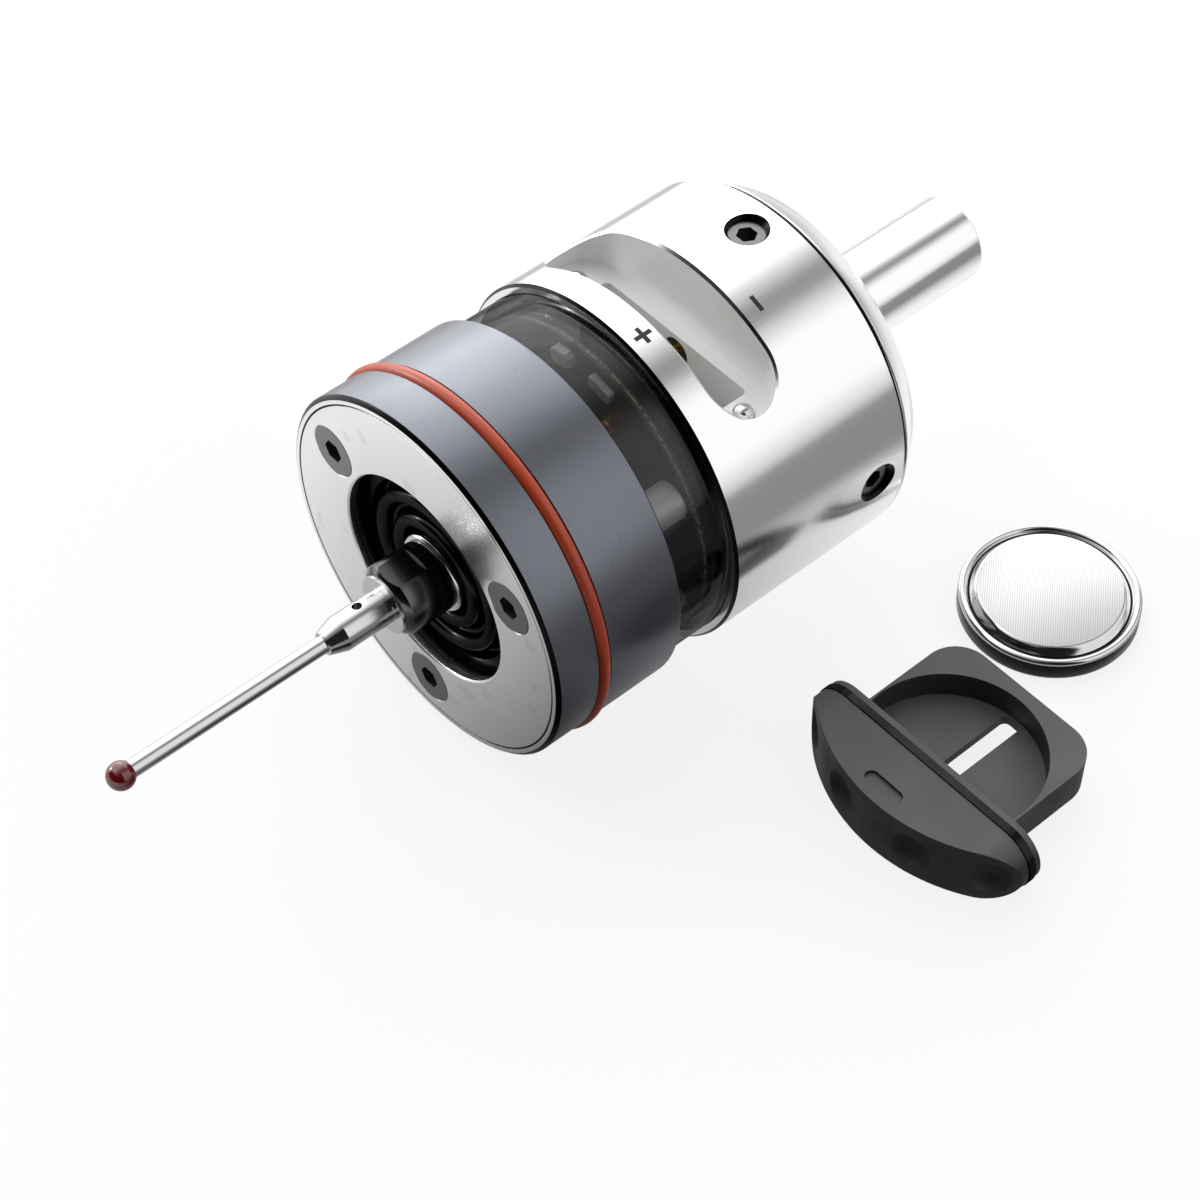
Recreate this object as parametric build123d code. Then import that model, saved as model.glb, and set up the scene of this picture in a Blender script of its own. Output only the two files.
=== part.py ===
from build123d import *
from math import asin, cos, pi, radians, sin, sqrt
import os

# A cordless three-dimensional edge finder, lying on its side with its battery tray taken out.
# The probe's axis is the Y axis: the shank points along +Y and the ball along -Y.
# Y = 0 is where the shank leaves the rear disc, +Z is up and +X is the side where the tray lies.
# Angles round the axis are counted from +Z towards +X. All lengths are in millimetres.

# Body: the window drives its width, and the metal stands a step proud of the window
window_diameter = 40.0
window_step = 1.0
ring_length = 24.0
window_length = 7.5
housing_length = 16.2
edge_break = 0.2
ring_front_chamfer = 0.3
housing_front_chamfer = 0.4
fit_gap = 0.05
thread_gap = 0.02

# Shank and rear disc
shank_diameter = 10.0
shank_length = 25.2
shank_chamfer = 0.6
disc_thickness = 3.35
disc_taper = 2.3
spigot_diameter = 23.5
spigot_length = 10.8

# Adjusting screws, which centre the spigot
adjusting_screw_count = 4
adjusting_screw_diameter = 4.0
adjusting_screw_from_disc = 4.0
adjusting_screw_depth = 0.75
adjusting_socket = 2.0
adjusting_socket_depth = 1.8
adjusting_groove_depth = 0.9
adjusting_mouth_chamfer = 0.45

# Face plate and its screws
plate_rim_width = 1.0
plate_thickness = 2.0
plate_hole_from_heads = 0.8
plate_hole_land = 1.0
plate_hole_bevel = 0.7
face_screw_angles = (-60.0, 60.0, 180.0)
face_screw_from_board_edge = 2.5
face_screw_diameter = 3.0
face_screw_head = 6.0
face_screw_length = 28.0
face_screw_socket = 2.3
face_screw_socket_depth = 1.1
face_screw_clearance = 0.1

# Sealing cord round the housing
cord_thickness = 1.5
cord_proud = 0.42
cord_from_front = 6.05

# Clear window
window_wall = 1.4
window_seat_depth = 1.0
window_gasket_thickness = 0.8
window_gasket_width = 1.3

# Circuit board, its lamps and its pins
board_edge_gap = 0.3
board_thickness = 1.0
board_from_ring = 1.35
board_hole_diameter = 10.6
post_diameter = 4.4
lamp_count = 3
lamp_from_edge = 1.9
lamp_length = 2.9
lamp_width = 2.0
lamp_height = 1.0
lamp_start_angle = -8.0
chip_from_edge = 2.0
chip_length = 3.2
chip_width = 1.4
chip_height = 0.8
chip_start_angle = 12.0
contact_post_diameter = 1.8
contact_post_angle = 22.0
contact_post_edge = 0.15
contact_post_collar = 0.35
contact_post_collar_length = 0.7

# Boot that closes the hole in the face plate
boot_thickness = 0.45
boot_flat_width = 1.2
boot_collar_gap = 0.7
boot_fold_count = 2
boot_fold_height = 1.0
boot_ridge_below_face = 1.2
boot_rim_width = 1.9
boot_rim_thickness = 0.7
boot_lip_thickness = 0.6

# Swivel that carries the stylus: a sprung ball collar on a cone seat
swivel_from_face = 13.0
swivel_radius = 6.5
swivel_rear_length = 3.4
swivel_bore_diameter = 6.4
swivel_front_land = 0.9
swivel_bore_floor_gap = 0.1
swivel_thread_end_room = 0.3
seat_angle = 45.0
seat_gap = 0.03
seat_outer_diameter = 17.0
seat_bore_diameter = 8.0
seat_thickness = 1.9
seat_shoulder = 1.5
seat_shoulder_bore = 14.0
neck_diameter = 5.2
neck_thread_diameter = 4.0
neck_thread_length = 3.2
guide_pin_count = 3
guide_pin_diameter = 2.0
guide_pin_from_outside = 1.4
guide_pin_end_room = 0.6
guide_pin_root = 4.0
guide_ball_diameter = 2.5
guide_ball_from_outside = 2.3
guide_ball_gap = 0.12
guide_ball_stand_out = 0.9
guide_ring_from_screws = 1.1
guide_ring_wall = 3.9
guide_ring_front_margin = 3.3
guide_ring_rear_margin = 2.5

# Thrust ball at the swivel's centre and the follower that presses on it
thrust_ball_diameter = 2.5
follower_nose_diameter = 4.0
follower_nose_setback = 0.45
follower_flange_thickness = 0.8
follower_boss_length = 1.5
follower_tilt_room = 0.8

# Return spring
spring_diameter = 7.6
spring_wire = 0.7
spring_turns = 6.0
spring_recess_depth = 3.2
spring_side_gap = 0.3

# Stylus holder and stylus
holder_from_face = 4.75
holder_diameter = 8.0
holder_chamfer = 0.65
holder_across_flats = 7.2
holder_flat_length = 4.15
collar_ring_diameter = 9.0
collar_ring_thickness = 1.65
snap_ring_diameter = 7.2
snap_ring_thickness = 0.4
snap_ring_groove_depth = 0.3
snap_ring_opening = 1.4
stylus_length = 32.3
stylus_base_diameter = 3.9
stylus_base_length = 5.9
stylus_collar_diameter = 6.6
stylus_collar_thickness = 0.35
stylus_cone_length = 2.0
stylus_cone_end_diameter = 2.6
stylus_thread_diameter = 2.0
stylus_thread_length = 4.0
stylus_thread_end_room = 0.4
stylus_cross_hole_diameter = 1.1
stylus_cross_hole_from_rear = 3.25
stylus_cross_hole_angle = -11.0
stem_diameter = 1.9
stem_root_length = 3.0
ball_diameter = 3.0
ball_seat_depth = 0.55

# Battery slot in the ring
slot_from_front = 4.0
slot_mouth_chamfer = 0.3
chamber_side_gap = 0.25
chamber_height_gap = 0.4
chamber_end_gap = 0.35
chamber_corner_radius = 0.7
seat_ball_diameter = 2.4
seat_ball_from_end = 2.7
battery_contact_diameter = 1.6
battery_contact_stand_out = 0.9
battery_contact_tail_gap = 1.2
battery_contact_nose = 0.7
battery_sleeve_diameter = 3.4
battery_sleeve_recess = 0.15

# Battery tray, as it lies beside the probe
tray_centre_x = 43.2
tray_width = 30.2
tray_height = 7.6
tray_side_gap = 0.25
tray_apex_ahead_of_ring = 1.3
tray_cap_gap = 0.05
tray_cap_end_depth = 2.52
tray_plate_width = 20.8
tray_plate_thickness = 4.6
tray_plate_length = 14.0
tray_corner_radius = 4.0
tray_gasket_width = 1.0
tray_gasket_from_rear = 0.7
tray_gasket_depth = 0.9
tray_gasket_proud = 0.12
tray_gasket_side_gap = 0.06
tray_mark_length = 4.9
tray_mark_width = 1.6
tray_mark_depth = 0.4
tray_mark_from_rim = 2.1
tray_mark_offset = -0.7
tray_dimple_angles = (-37.0, -14.0, 14.0, 37.0)
tray_dimple_diameter = 4.8
tray_dimple_depth = 1.2
cell_pocket_gap = 0.15
cell_pocket_depth = 3.4
cell_slot_width = 2.3
cell_slot_end_gap = 0.25
cell_slot_floor_gap = 0.5
cell_centre_from_cap_top = 11.25

# Coin cell, as it lies behind the tray
cell_diameter = 20.0
cell_thickness = 3.2
cell_can_height = 2.7
cell_cap_diameter = 16.4
cell_groove_depth = 0.5
cell_groove_width = 0.9
cell_edge = 0.45
cell_cap_edge = 0.2
cell_groove_slope = 0.15
cell_groove_gap = 0.05
cell_x = 33.6
cell_y = 8.35

# Levels along the axis that follow from the sizes above
window_outer_radius = window_diameter / 2
window_inner_radius = window_outer_radius - window_wall
body_radius = window_outer_radius + window_step
board_radius = window_inner_radius - board_edge_gap
lamp_circle = board_radius - lamp_from_edge
chip_circle = board_radius - chip_from_edge
face_screw_circle = board_radius - face_screw_from_board_edge
plate_radius = body_radius - plate_rim_width
plate_hole_radius = face_screw_circle - face_screw_head / 2 - plate_hole_from_heads
guide_ring_outer_radius = face_screw_circle - face_screw_diameter / 2 - guide_ring_from_screws
guide_ring_inner_radius = guide_ring_outer_radius - guide_ring_wall
guide_pin_reach = guide_ring_outer_radius - guide_pin_from_outside
guide_ball_circle = guide_ring_outer_radius - guide_ball_from_outside
ring_rear = -disc_thickness
ring_front = ring_rear - ring_length
housing_rear = ring_front - window_length
front_face = housing_rear - housing_length
plate_rear = front_face + plate_thickness
board_rear = ring_front - board_from_ring
board_front = board_rear - board_thickness
slot_width = tray_width + 2 * tray_side_gap
slot_height = tray_height + 2 * tray_side_gap
slot_centre_y = ring_front + slot_from_front + slot_height / 2
swivel_y = front_face + swivel_from_face
seat_contact_y = swivel_y - swivel_radius * cos(radians(seat_angle))
seat_contact_radius = swivel_radius * sin(radians(seat_angle))
seat_front = seat_contact_y - (seat_contact_radius - seat_bore_diameter / 2)
seat_rear = seat_front + seat_thickness
guide_ring_front = swivel_y - guide_ring_front_margin
guide_ring_rear = swivel_y + guide_ring_rear_margin
swivel_rear = swivel_y + swivel_rear_length
follower_front = swivel_rear + follower_tilt_room
spring_front = follower_front + follower_flange_thickness
spring_rear = ring_front + spring_recess_depth
holder_front = front_face - holder_from_face
ridge_top = front_face + boot_ridge_below_face
boot_outer_leg = plate_hole_radius - boot_flat_width
boot_inner_leg = collar_ring_diameter / 2 + boot_collar_gap
boot_fold_pitch = (boot_outer_leg - boot_inner_leg) / boot_fold_count
fold_radius = boot_fold_pitch / 4
ridge_centre_y = ridge_top + fold_radius + boot_thickness / 2
valley_centre_y = ridge_centre_y + boot_fold_height
collar_ring_front = ridge_top - 0.1
lip_front = collar_ring_front + collar_ring_thickness
lip_rear = lip_front + boot_lip_thickness
ball_centre_y = holder_front - stylus_length
floor_z = -body_radius - cord_proud
ring_bore_radius = spigot_diameter / 2 + fit_gap
adjusting_screw_y = ring_rear - adjusting_screw_from_disc
chamber_height = tray_plate_thickness + chamber_height_gap
chamber_half_width = tray_plate_width / 2 + chamber_side_gap
tray_cap_radius = body_radius - tray_cap_gap
tray_end_z = sqrt(tray_cap_radius ** 2 - (tray_width / 2) ** 2)
ledge_z = tray_end_z - tray_cap_end_depth
tray_cap_depth = tray_cap_radius - ledge_z
chamber_floor_z = ledge_z - tray_plate_length - chamber_end_gap
cell_seat_z = tray_cap_radius - cell_centre_from_cap_top
tray_floor_z = floor_z + tray_gasket_proud
tray_axis_y = ring_front - tray_apex_ahead_of_ring + tray_cap_radius


def turned(points):
    """A solid of revolution about the probe's axis from (radius, y) points."""
    return revolve(make_face(Polyline(*points, close=True)), axis=Axis.Y)


def ring_solid(outer_radius, inner_radius, start, end):
    return turned([(inner_radius, start), (outer_radius, start), (outer_radius, end), (inner_radius, end)])


def rod(radius, start, end):
    return turned([(0, start), (radius, start), (radius, end), (0, end)])


def rod_at(radius, start, end, circle, angle):
    """A rod parallel to the axis, standing on a circle round it."""
    return (Pos(0, 0, circle) * rod(radius, start, end)).rotate(Axis.Y, angle)


def radial_rod(radius, inner, outer, y):
    """A rod that points away from the axis along +Z."""
    profile = [(0, inner), (radius, inner), (radius, outer), (0, outer)]
    face = Plane.XZ * make_face(Polyline(*profile, close=True))
    return Pos(0, y, 0) * revolve(face, axis=Axis.Z)


def hexagon_prism(across_flats, length):
    return extrude(RegularPolygon(across_flats / sqrt(3), 6), length)


def obround(width, height):
    return SlotOverall(width, height)


def spread(piece, count, start=0.0):
    """Copies of a piece round the axis."""
    return [piece.rotate(Axis.Y, start + index * 360 / count) for index in range(count)]


def group(pieces):
    return Compound(children=list(pieces))


def make_shank_flange():
    radius = body_radius
    spigot = spigot_diameter / 2
    shank = shank_diameter / 2
    groove = adjusting_groove_depth
    body = turned([
        (0, ring_rear - spigot_length),
        (spigot - edge_break, ring_rear - spigot_length),
        (spigot, ring_rear - spigot_length + edge_break),
        (spigot, adjusting_screw_y - groove),
        (spigot - groove, adjusting_screw_y),
        (spigot, adjusting_screw_y + groove),
        (spigot, ring_rear),
        (radius - edge_break, ring_rear),
        (radius, ring_rear + edge_break),
        (radius - disc_taper, 0),
        (shank, 0),
        (shank, shank_length - shank_chamfer),
        (shank - shank_chamfer, shank_length),
        (0, shank_length),
    ])
    return body


def make_adjusting_screws():
    radius = adjusting_screw_diameter / 2 - thread_gap
    outer = body_radius - adjusting_screw_depth
    tip = spigot_diameter / 2 - adjusting_groove_depth + fit_gap
    profile = [(0, tip), (radius, tip + radius), (radius, outer), (0, outer)]
    face = Plane.XZ * make_face(Polyline(*profile, close=True))
    screw = revolve(face, axis=Axis.Z)
    socket = hexagon_prism(adjusting_socket, adjusting_socket_depth)
    screw -= Pos(0, 0, outer - adjusting_socket_depth) * socket
    return group(spread(Pos(0, adjusting_screw_y, 0) * screw, adjusting_screw_count))


def slot_mouth(side_gap=0.0):
    """The wide, round-ended mouth of the battery slot, down to its ledge."""
    outline = obround(slot_width - 2 * side_gap, slot_height - 2 * side_gap)
    return Pos(0, slot_centre_y, ledge_z) * extrude(outline, body_radius)


def slot_rim(ring):
    """The edges where the slot's mouth breaks through the ring's skin."""
    skin = ring.faces().filter_by(GeomType.CYLINDER).sort_by(SortBy.AREA)[-1]
    reach = slot_width / 2 + slot_mouth_chamfer
    half_height = slot_height / 2 + slot_mouth_chamfer
    rim = []
    for edge in skin.edges():
        box = edge.bounding_box()
        on_slot_side = box.min.Z > ledge_z and max(box.max.X, -box.min.X) < reach
        front_of_slot = slot_centre_y - half_height
        rear_of_slot = slot_centre_y + half_height
        if on_slot_side and front_of_slot < box.min.Y and box.max.Y < rear_of_slot:
            rim.append(edge)
    return rim


def slot_chamber():
    """The narrower chamber under the ledge, where the tray's plate goes."""
    depth = ledge_z - chamber_floor_z + 1
    outline = Rectangle(2 * chamber_half_width, depth)
    outline = fillet(outline.vertices().group_by(Axis.Y)[0], tray_corner_radius)
    outline = Plane.XZ * Pos(0, chamber_floor_z + depth / 2) * outline
    chamber = extrude(outline, chamber_height / 2, both=True)
    chamber = fillet(chamber.edges().filter_by(Axis.Z), chamber_corner_radius)
    return Pos(0, slot_centre_y, 0) * chamber


def make_battery_ring():
    radius = body_radius
    outer = window_outer_radius + fit_gap
    inner = window_inner_radius - fit_gap
    ring = turned([
        (0, spring_rear),
        (spring_diameter / 2 + spring_side_gap, spring_rear),
        (spring_diameter / 2 + spring_side_gap, ring_front),
        (inner, ring_front),
        (inner, ring_front + window_seat_depth),
        (outer, ring_front + window_seat_depth),
        (outer, ring_front),
        (radius - ring_front_chamfer, ring_front),
        (radius, ring_front + ring_front_chamfer),
        (radius, ring_rear - edge_break),
        (radius - edge_break, ring_rear),
        (ring_bore_radius, ring_rear),
        (ring_bore_radius, ring_rear - spigot_length - fit_gap),
        (0, ring_rear - spigot_length - fit_gap),
    ])
    boss = rod_at(post_diameter / 2, board_rear, ring_front, face_screw_circle, 0)
    hole_end = front_face + face_screw_length + thread_gap
    thread = rod_at(face_screw_diameter / 2 + thread_gap, board_rear - 1, hole_end, face_screw_circle, 0)
    for angle in face_screw_angles:
        ring += boss.rotate(Axis.Y, angle)
        ring -= thread.rotate(Axis.Y, angle)
    hole = radial_rod(adjusting_screw_diameter / 2, ring_bore_radius - 1, radius + 1, adjusting_screw_y)
    mouth = adjusting_screw_diameter / 2 + adjusting_mouth_chamfer
    cone = Cone(mouth - 1, mouth + 1, 2, align=(Align.CENTER, Align.CENTER, Align.CENTER))
    hole += Pos(0, adjusting_screw_y, radius) * cone
    for cutter in spread(hole, adjusting_screw_count):
        ring -= cutter
    ring -= slot_mouth()
    ring = chamfer(slot_rim(ring), slot_mouth_chamfer)
    ring -= slot_chamber()
    sleeve = battery_sleeve_diameter / 2
    ring -= Pos(0, 0, cell_seat_z) * rod(sleeve, ring_front - 1, slot_centre_y)
    ring -= Pos(0, 0, cell_seat_z) * rod(sleeve, slot_centre_y, ring_rear - spigot_length)
    return ring


def sleeve_span(side):
    """Where the insulating sleeve in the chamber's front (-1) or rear (+1) wall starts and ends."""
    wall = slot_centre_y + side * (chamber_height / 2 + battery_sleeve_recess)
    if side < 0:
        return ring_front, wall
    return wall, ring_rear - spigot_length - fit_gap


def make_battery_sleeves():
    """Insulating sleeves that hold the two battery contacts."""
    sleeves = []
    for side in (-1, 1):
        start, end = sleeve_span(side)
        outer = battery_sleeve_diameter / 2 - thread_gap
        bore = battery_contact_diameter / 2 + fit_gap
        sleeves.append(Pos(0, 0, cell_seat_z) * ring_solid(outer, bore, start, end))
    return group(sleeves)


def make_battery_contact(side):
    """A sprung contact pin with a round nose that stands out into the chamber."""
    wall = slot_centre_y + side * chamber_height / 2
    nose = wall - side * battery_contact_stand_out
    start, end = sleeve_span(side)
    tail = start + battery_contact_tail_gap if side < 0 else end - battery_contact_tail_gap
    radius = battery_contact_diameter / 2
    low, high = sorted((nose, tail))
    pin = rod(radius, low, high)
    edge = pin.edges().group_by(Axis.Y)[0 if side > 0 else -1]
    return Pos(0, 0, cell_seat_z) * fillet(edge, radius * battery_contact_nose)


def make_seat_balls():
    """Steel balls set in the ledge at both ends of the slot, on which the tray's flange lands."""
    reach = slot_width / 2 - seat_ball_from_end
    ball = Sphere(seat_ball_diameter / 2)
    return group(Pos(side * reach, slot_centre_y, ledge_z) * ball for side in (-1, 1))


def seat_ball_holes():
    """Blind holes in the ledge, half a ball deep."""
    reach = slot_width / 2 - seat_ball_from_end
    radius = seat_ball_diameter / 2
    hole = Cylinder(radius + thread_gap, 2 * radius)
    return [Pos(side * reach, slot_centre_y, ledge_z) * hole for side in (-1, 1)]


def make_window_ring():
    start = housing_rear - window_seat_depth
    end = ring_front + window_seat_depth - fit_gap
    return ring_solid(window_outer_radius, window_inner_radius, start, end)


def make_front_window_gasket():
    """The gasket at the bottom of the housing's groove, behind the window's front edge."""
    end = housing_rear - window_seat_depth
    return ring_solid(window_outer_radius, window_inner_radius, end - window_gasket_thickness, end)


def make_rear_window_gasket():
    """The black ring inside the window, against the face of the battery ring."""
    outer = window_inner_radius - fit_gap
    gasket = ring_solid(outer, board_radius - window_gasket_width, board_rear + fit_gap, ring_front)
    notch = rod_at(post_diameter / 2 + fit_gap, board_rear, ring_front, face_screw_circle, 0)
    for angle in face_screw_angles:
        gasket -= notch.rotate(Axis.Y, angle)
    return gasket


def make_front_housing():
    radius = body_radius
    plate = plate_radius + fit_gap
    groove_floor = radius + cord_proud - cord_thickness
    cord_y = front_face + cord_from_front
    cord_half = cord_thickness / 2 + fit_gap
    rim = plate_hole_radius + boot_rim_width + fit_gap
    hollow = plate_hole_radius + boot_thickness + fit_gap
    seat = seat_outer_diameter / 2 + thread_gap
    guide = guide_ring_outer_radius + fit_gap
    window_outer = window_outer_radius + fit_gap
    window_inner = window_inner_radius - fit_gap
    groove_end = housing_rear - window_seat_depth - window_gasket_thickness
    shoulder = seat_front - seat_shoulder
    housing = turned([
        (plate, front_face),
        (radius - housing_front_chamfer, front_face),
        (radius, front_face + housing_front_chamfer),
        (radius, cord_y - cord_half),
        (groove_floor, cord_y - cord_half),
        (groove_floor, cord_y + cord_half),
        (radius, cord_y + cord_half),
        (radius, housing_rear - edge_break),
        (radius - edge_break, housing_rear),
        (window_outer, housing_rear),
        (window_outer, groove_end),
        (window_inner, groove_end),
        (window_inner, housing_rear),
        (guide, housing_rear),
        (guide, guide_ring_front),
        (seat, guide_ring_front),
        (seat, seat_front),
        (seat_shoulder_bore / 2, seat_front),
        (seat_shoulder_bore / 2, shoulder),
        (hollow, shoulder),
        (hollow, plate_rear + boot_rim_thickness),
        (rim, plate_rear + boot_rim_thickness),
        (rim, plate_rear),
        (plate, plate_rear),
    ])
    post = rod_at(post_diameter / 2, housing_rear, board_front, face_screw_circle, 0)
    hole_radius = face_screw_diameter / 2 + face_screw_clearance
    hole = rod_at(hole_radius, plate_rear - 1, board_front + 1, face_screw_circle, 0)
    for angle in face_screw_angles:
        housing += post.rotate(Axis.Y, angle)
        housing -= hole.rotate(Axis.Y, angle)
    return housing


def make_sealing_cord():
    centre = body_radius + cord_proud - cord_thickness / 2
    section = Pos(centre, front_face + cord_from_front) * Circle(cord_thickness / 2)
    return revolve(section, axis=Axis.Y)


def face_screw_cone(gap):
    """The countersunk head's outline about the axis, from the face inwards."""
    head = face_screw_head / 2 + gap
    shank = face_screw_diameter / 2 + gap
    return [(0, front_face), (head, front_face), (shank, front_face + head - shank)]


def make_face_plate():
    outer = plate_radius
    hole = plate_hole_radius
    plate = turned([
        (hole + edge_break, front_face),
        (outer, front_face),
        (outer, plate_rear),
        (hole + plate_hole_bevel, plate_rear),
        (hole, front_face + plate_hole_land),
        (hole, front_face + edge_break),
    ])
    shank = face_screw_diameter / 2 + face_screw_clearance
    seat = turned(face_screw_cone(fit_gap) + [(0, front_face + face_screw_head / 2)])
    seat += rod(shank, front_face + 1, plate_rear + 1)
    for angle in face_screw_angles:
        plate -= (Pos(0, 0, face_screw_circle) * seat).rotate(Axis.Y, angle)
    return plate


def make_face_screws():
    end = front_face + face_screw_length
    radius = face_screw_diameter / 2
    screw = turned(face_screw_cone(0) + [(radius, end - edge_break), (radius - edge_break, end), (0, end)])
    socket = hexagon_prism(face_screw_socket, face_screw_socket_depth)
    screw -= Pos(0, front_face, 0) * socket.rotate(Axis.X, -90)
    screws = [(Pos(0, 0, face_screw_circle) * screw).rotate(Axis.Y, angle) for angle in face_screw_angles]
    return group(screws)


def half_fold(centre_radius, centre_y, side):
    """Half of one round fold of the boot: side -1 bulges to the front, +1 to the rear."""
    outer = fold_radius + boot_thickness / 2
    inner = fold_radius - boot_thickness / 2
    section = Circle(outer) - Circle(inner)
    section -= Pos(0, -side * outer) * Rectangle(2 * outer + 1, 2 * outer)
    return revolve(Pos(centre_radius, centre_y) * section, axis=Axis.Y)


def boot_leg(radius, start, end):
    half = boot_thickness / 2
    return ring_solid(radius + half, radius - half, start, end)


def make_boot():
    """A moulded rubber boot: round folds between a clamped rim and a lip on the stylus neck."""
    rim_outer = plate_hole_radius + boot_rim_width
    rim_inner = boot_outer_leg - boot_thickness / 2
    boot = ring_solid(rim_outer, rim_inner, plate_rear, plate_rear + boot_rim_thickness)
    boot += boot_leg(boot_outer_leg, plate_rear, valley_centre_y)
    for fold in range(boot_fold_count):
        ridge = boot_outer_leg - 3 * fold_radius - fold * boot_fold_pitch
        leg_end = valley_centre_y if fold < boot_fold_count - 1 else lip_rear
        boot += half_fold(ridge + 2 * fold_radius, valley_centre_y, 1)
        boot += boot_leg(ridge + fold_radius, ridge_centre_y, valley_centre_y)
        boot += half_fold(ridge, ridge_centre_y, -1)
        boot += boot_leg(ridge - fold_radius, ridge_centre_y, leg_end)
    boot += ring_solid(boot_inner_leg, neck_diameter / 2 + thread_gap, lip_front, lip_rear)
    return boot


def make_collar_ring():
    """The bright ring that presses the boot's lip against the snap ring on the neck."""
    bore = neck_diameter / 2 + thread_gap
    ring = ring_solid(collar_ring_diameter / 2, bore, collar_ring_front, lip_front)
    return chamfer(ring.edges().group_by(Axis.Y)[0].sort_by(SortBy.LENGTH)[-1], edge_break)


def make_snap_ring():
    groove = neck_diameter / 2 - snap_ring_groove_depth
    ring = ring_solid(snap_ring_diameter / 2, groove, lip_rear, lip_rear + snap_ring_thickness)
    gap = Pos(0, lip_rear, snap_ring_diameter / 2) * Box(snap_ring_opening, 2, snap_ring_diameter)
    return ring - gap


def make_stylus_holder():
    """The black holder: barrel with two wrench flats, neck and thread."""
    neck = neck_diameter / 2
    barrel = holder_diameter / 2
    thread = neck_thread_diameter / 2 - thread_gap
    groove = neck - snap_ring_groove_depth
    neck_end = swivel_y - sqrt(swivel_radius ** 2 - neck ** 2) - fit_gap
    holder = turned([
        (0, holder_front),
        (barrel - holder_chamfer, holder_front),
        (barrel, holder_front + holder_chamfer),
        (barrel, collar_ring_front),
        (neck, collar_ring_front),
        (neck, lip_rear),
        (groove, lip_rear),
        (groove, lip_rear + snap_ring_thickness),
        (neck, lip_rear + snap_ring_thickness),
        (neck, neck_end),
        (thread, neck_end),
        (thread, neck_end + neck_thread_length),
        (0, neck_end + neck_thread_length),
    ])
    flat = Pos(0, holder_front, holder_across_flats / 2 + barrel / 2)
    flat *= Box(holder_diameter, 2 * holder_flat_length, barrel)
    for cutter in spread(flat, 2):
        holder -= cutter
    hole_end = holder_front + stylus_thread_length + stylus_thread_end_room
    holder -= rod(stylus_thread_diameter / 2 + thread_gap, holder_front, hole_end)
    return holder


def make_swivel():
    """The steel collar: ball zone in front, plain rear part, tapped hole and the thrust ball's cone."""
    front_radius = neck_diameter / 2 + swivel_front_land
    front_y = swivel_y - sqrt(swivel_radius ** 2 - front_radius ** 2)
    arc_middle_angle = (asin(front_radius / swivel_radius) + pi / 2) / 2
    middle = (swivel_radius * sin(arc_middle_angle), swivel_y - swivel_radius * cos(arc_middle_angle))
    bore = swivel_bore_diameter / 2
    floor = swivel_y - seat_gap - swivel_bore_floor_gap
    apex = swivel_y - thrust_cone_reach()
    outline = [
        Line((0, front_y), (front_radius, front_y)),
        ThreePointArc((front_radius, front_y), middle, (swivel_radius, swivel_y)),
        Line((swivel_radius, swivel_y), (swivel_radius, swivel_rear)),
        Line((swivel_radius, swivel_rear), (bore, swivel_rear)),
        Line((bore, swivel_rear), (bore, floor)),
        Line((bore, floor), (floor - apex, floor)),
        Line((floor - apex, floor), (0, apex)),
        Line((0, apex), (0, front_y)),
    ]
    body = revolve(make_face(outline), axis=Axis.Y)
    neck_end = swivel_y - sqrt(swivel_radius ** 2 - (neck_diameter / 2) ** 2) - fit_gap
    thread_end = neck_end + neck_thread_length + swivel_thread_end_room
    body -= rod(neck_thread_diameter / 2, front_y - 1, thread_end)
    body -= rod(neck_diameter / 2 + thread_gap, front_y - 1, neck_end + thread_gap)
    pin_hole = radial_rod(guide_pin_diameter / 2, guide_pin_root, swivel_radius + 1, swivel_y)
    for cutter in spread(pin_hole, guide_pin_count):
        body -= cutter
    return body


def thrust_cone_reach():
    """How far the tip of a right-angled cone lies from the centre of the ball it holds."""
    return (thrust_ball_diameter / 2 + seat_gap) * sqrt(2)


def make_thrust_ball():
    return Pos(0, swivel_y, 0) * Sphere(thrust_ball_diameter / 2)


def make_spring_follower():
    """The cup that takes the spring's push to the thrust ball: nose, flange and a boss for the coil."""
    nose_front = swivel_y + follower_nose_setback
    apex = swivel_y + thrust_cone_reach()
    nose = follower_nose_diameter / 2
    boss = spring_diameter / 2 - spring_wire - spring_side_gap
    return turned([
        (apex - nose_front, nose_front),
        (nose, nose_front),
        (nose, follower_front),
        (spring_diameter / 2, follower_front),
        (spring_diameter / 2, spring_front),
        (boss, spring_front),
        (boss, spring_front + follower_boss_length),
        (0, spring_front + follower_boss_length),
        (0, apex),
    ])


def make_guide_pins():
    radius = guide_pin_diameter / 2 - thread_gap
    pin = radial_rod(radius, guide_pin_root + thread_gap, guide_pin_reach, swivel_y)
    tip = pin.edges().group_by(Axis.Z)[-1]
    return group(spread(chamfer(tip, edge_break), guide_pin_count))


def guide_ball_places():
    """Centres of the ball pairs, one pair on either side of each guide pin."""
    offset = guide_pin_diameter / 2 + guide_ball_gap + guide_ball_diameter / 2
    height = sqrt(guide_ball_circle ** 2 - offset ** 2)
    return [(side * offset, swivel_y, height) for side in (-1, 1)]


def make_guide_balls():
    balls = []
    for place in guide_ball_places():
        balls += spread(Pos(*place) * Sphere(guide_ball_diameter / 2), guide_pin_count)
    return group(balls)


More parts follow.
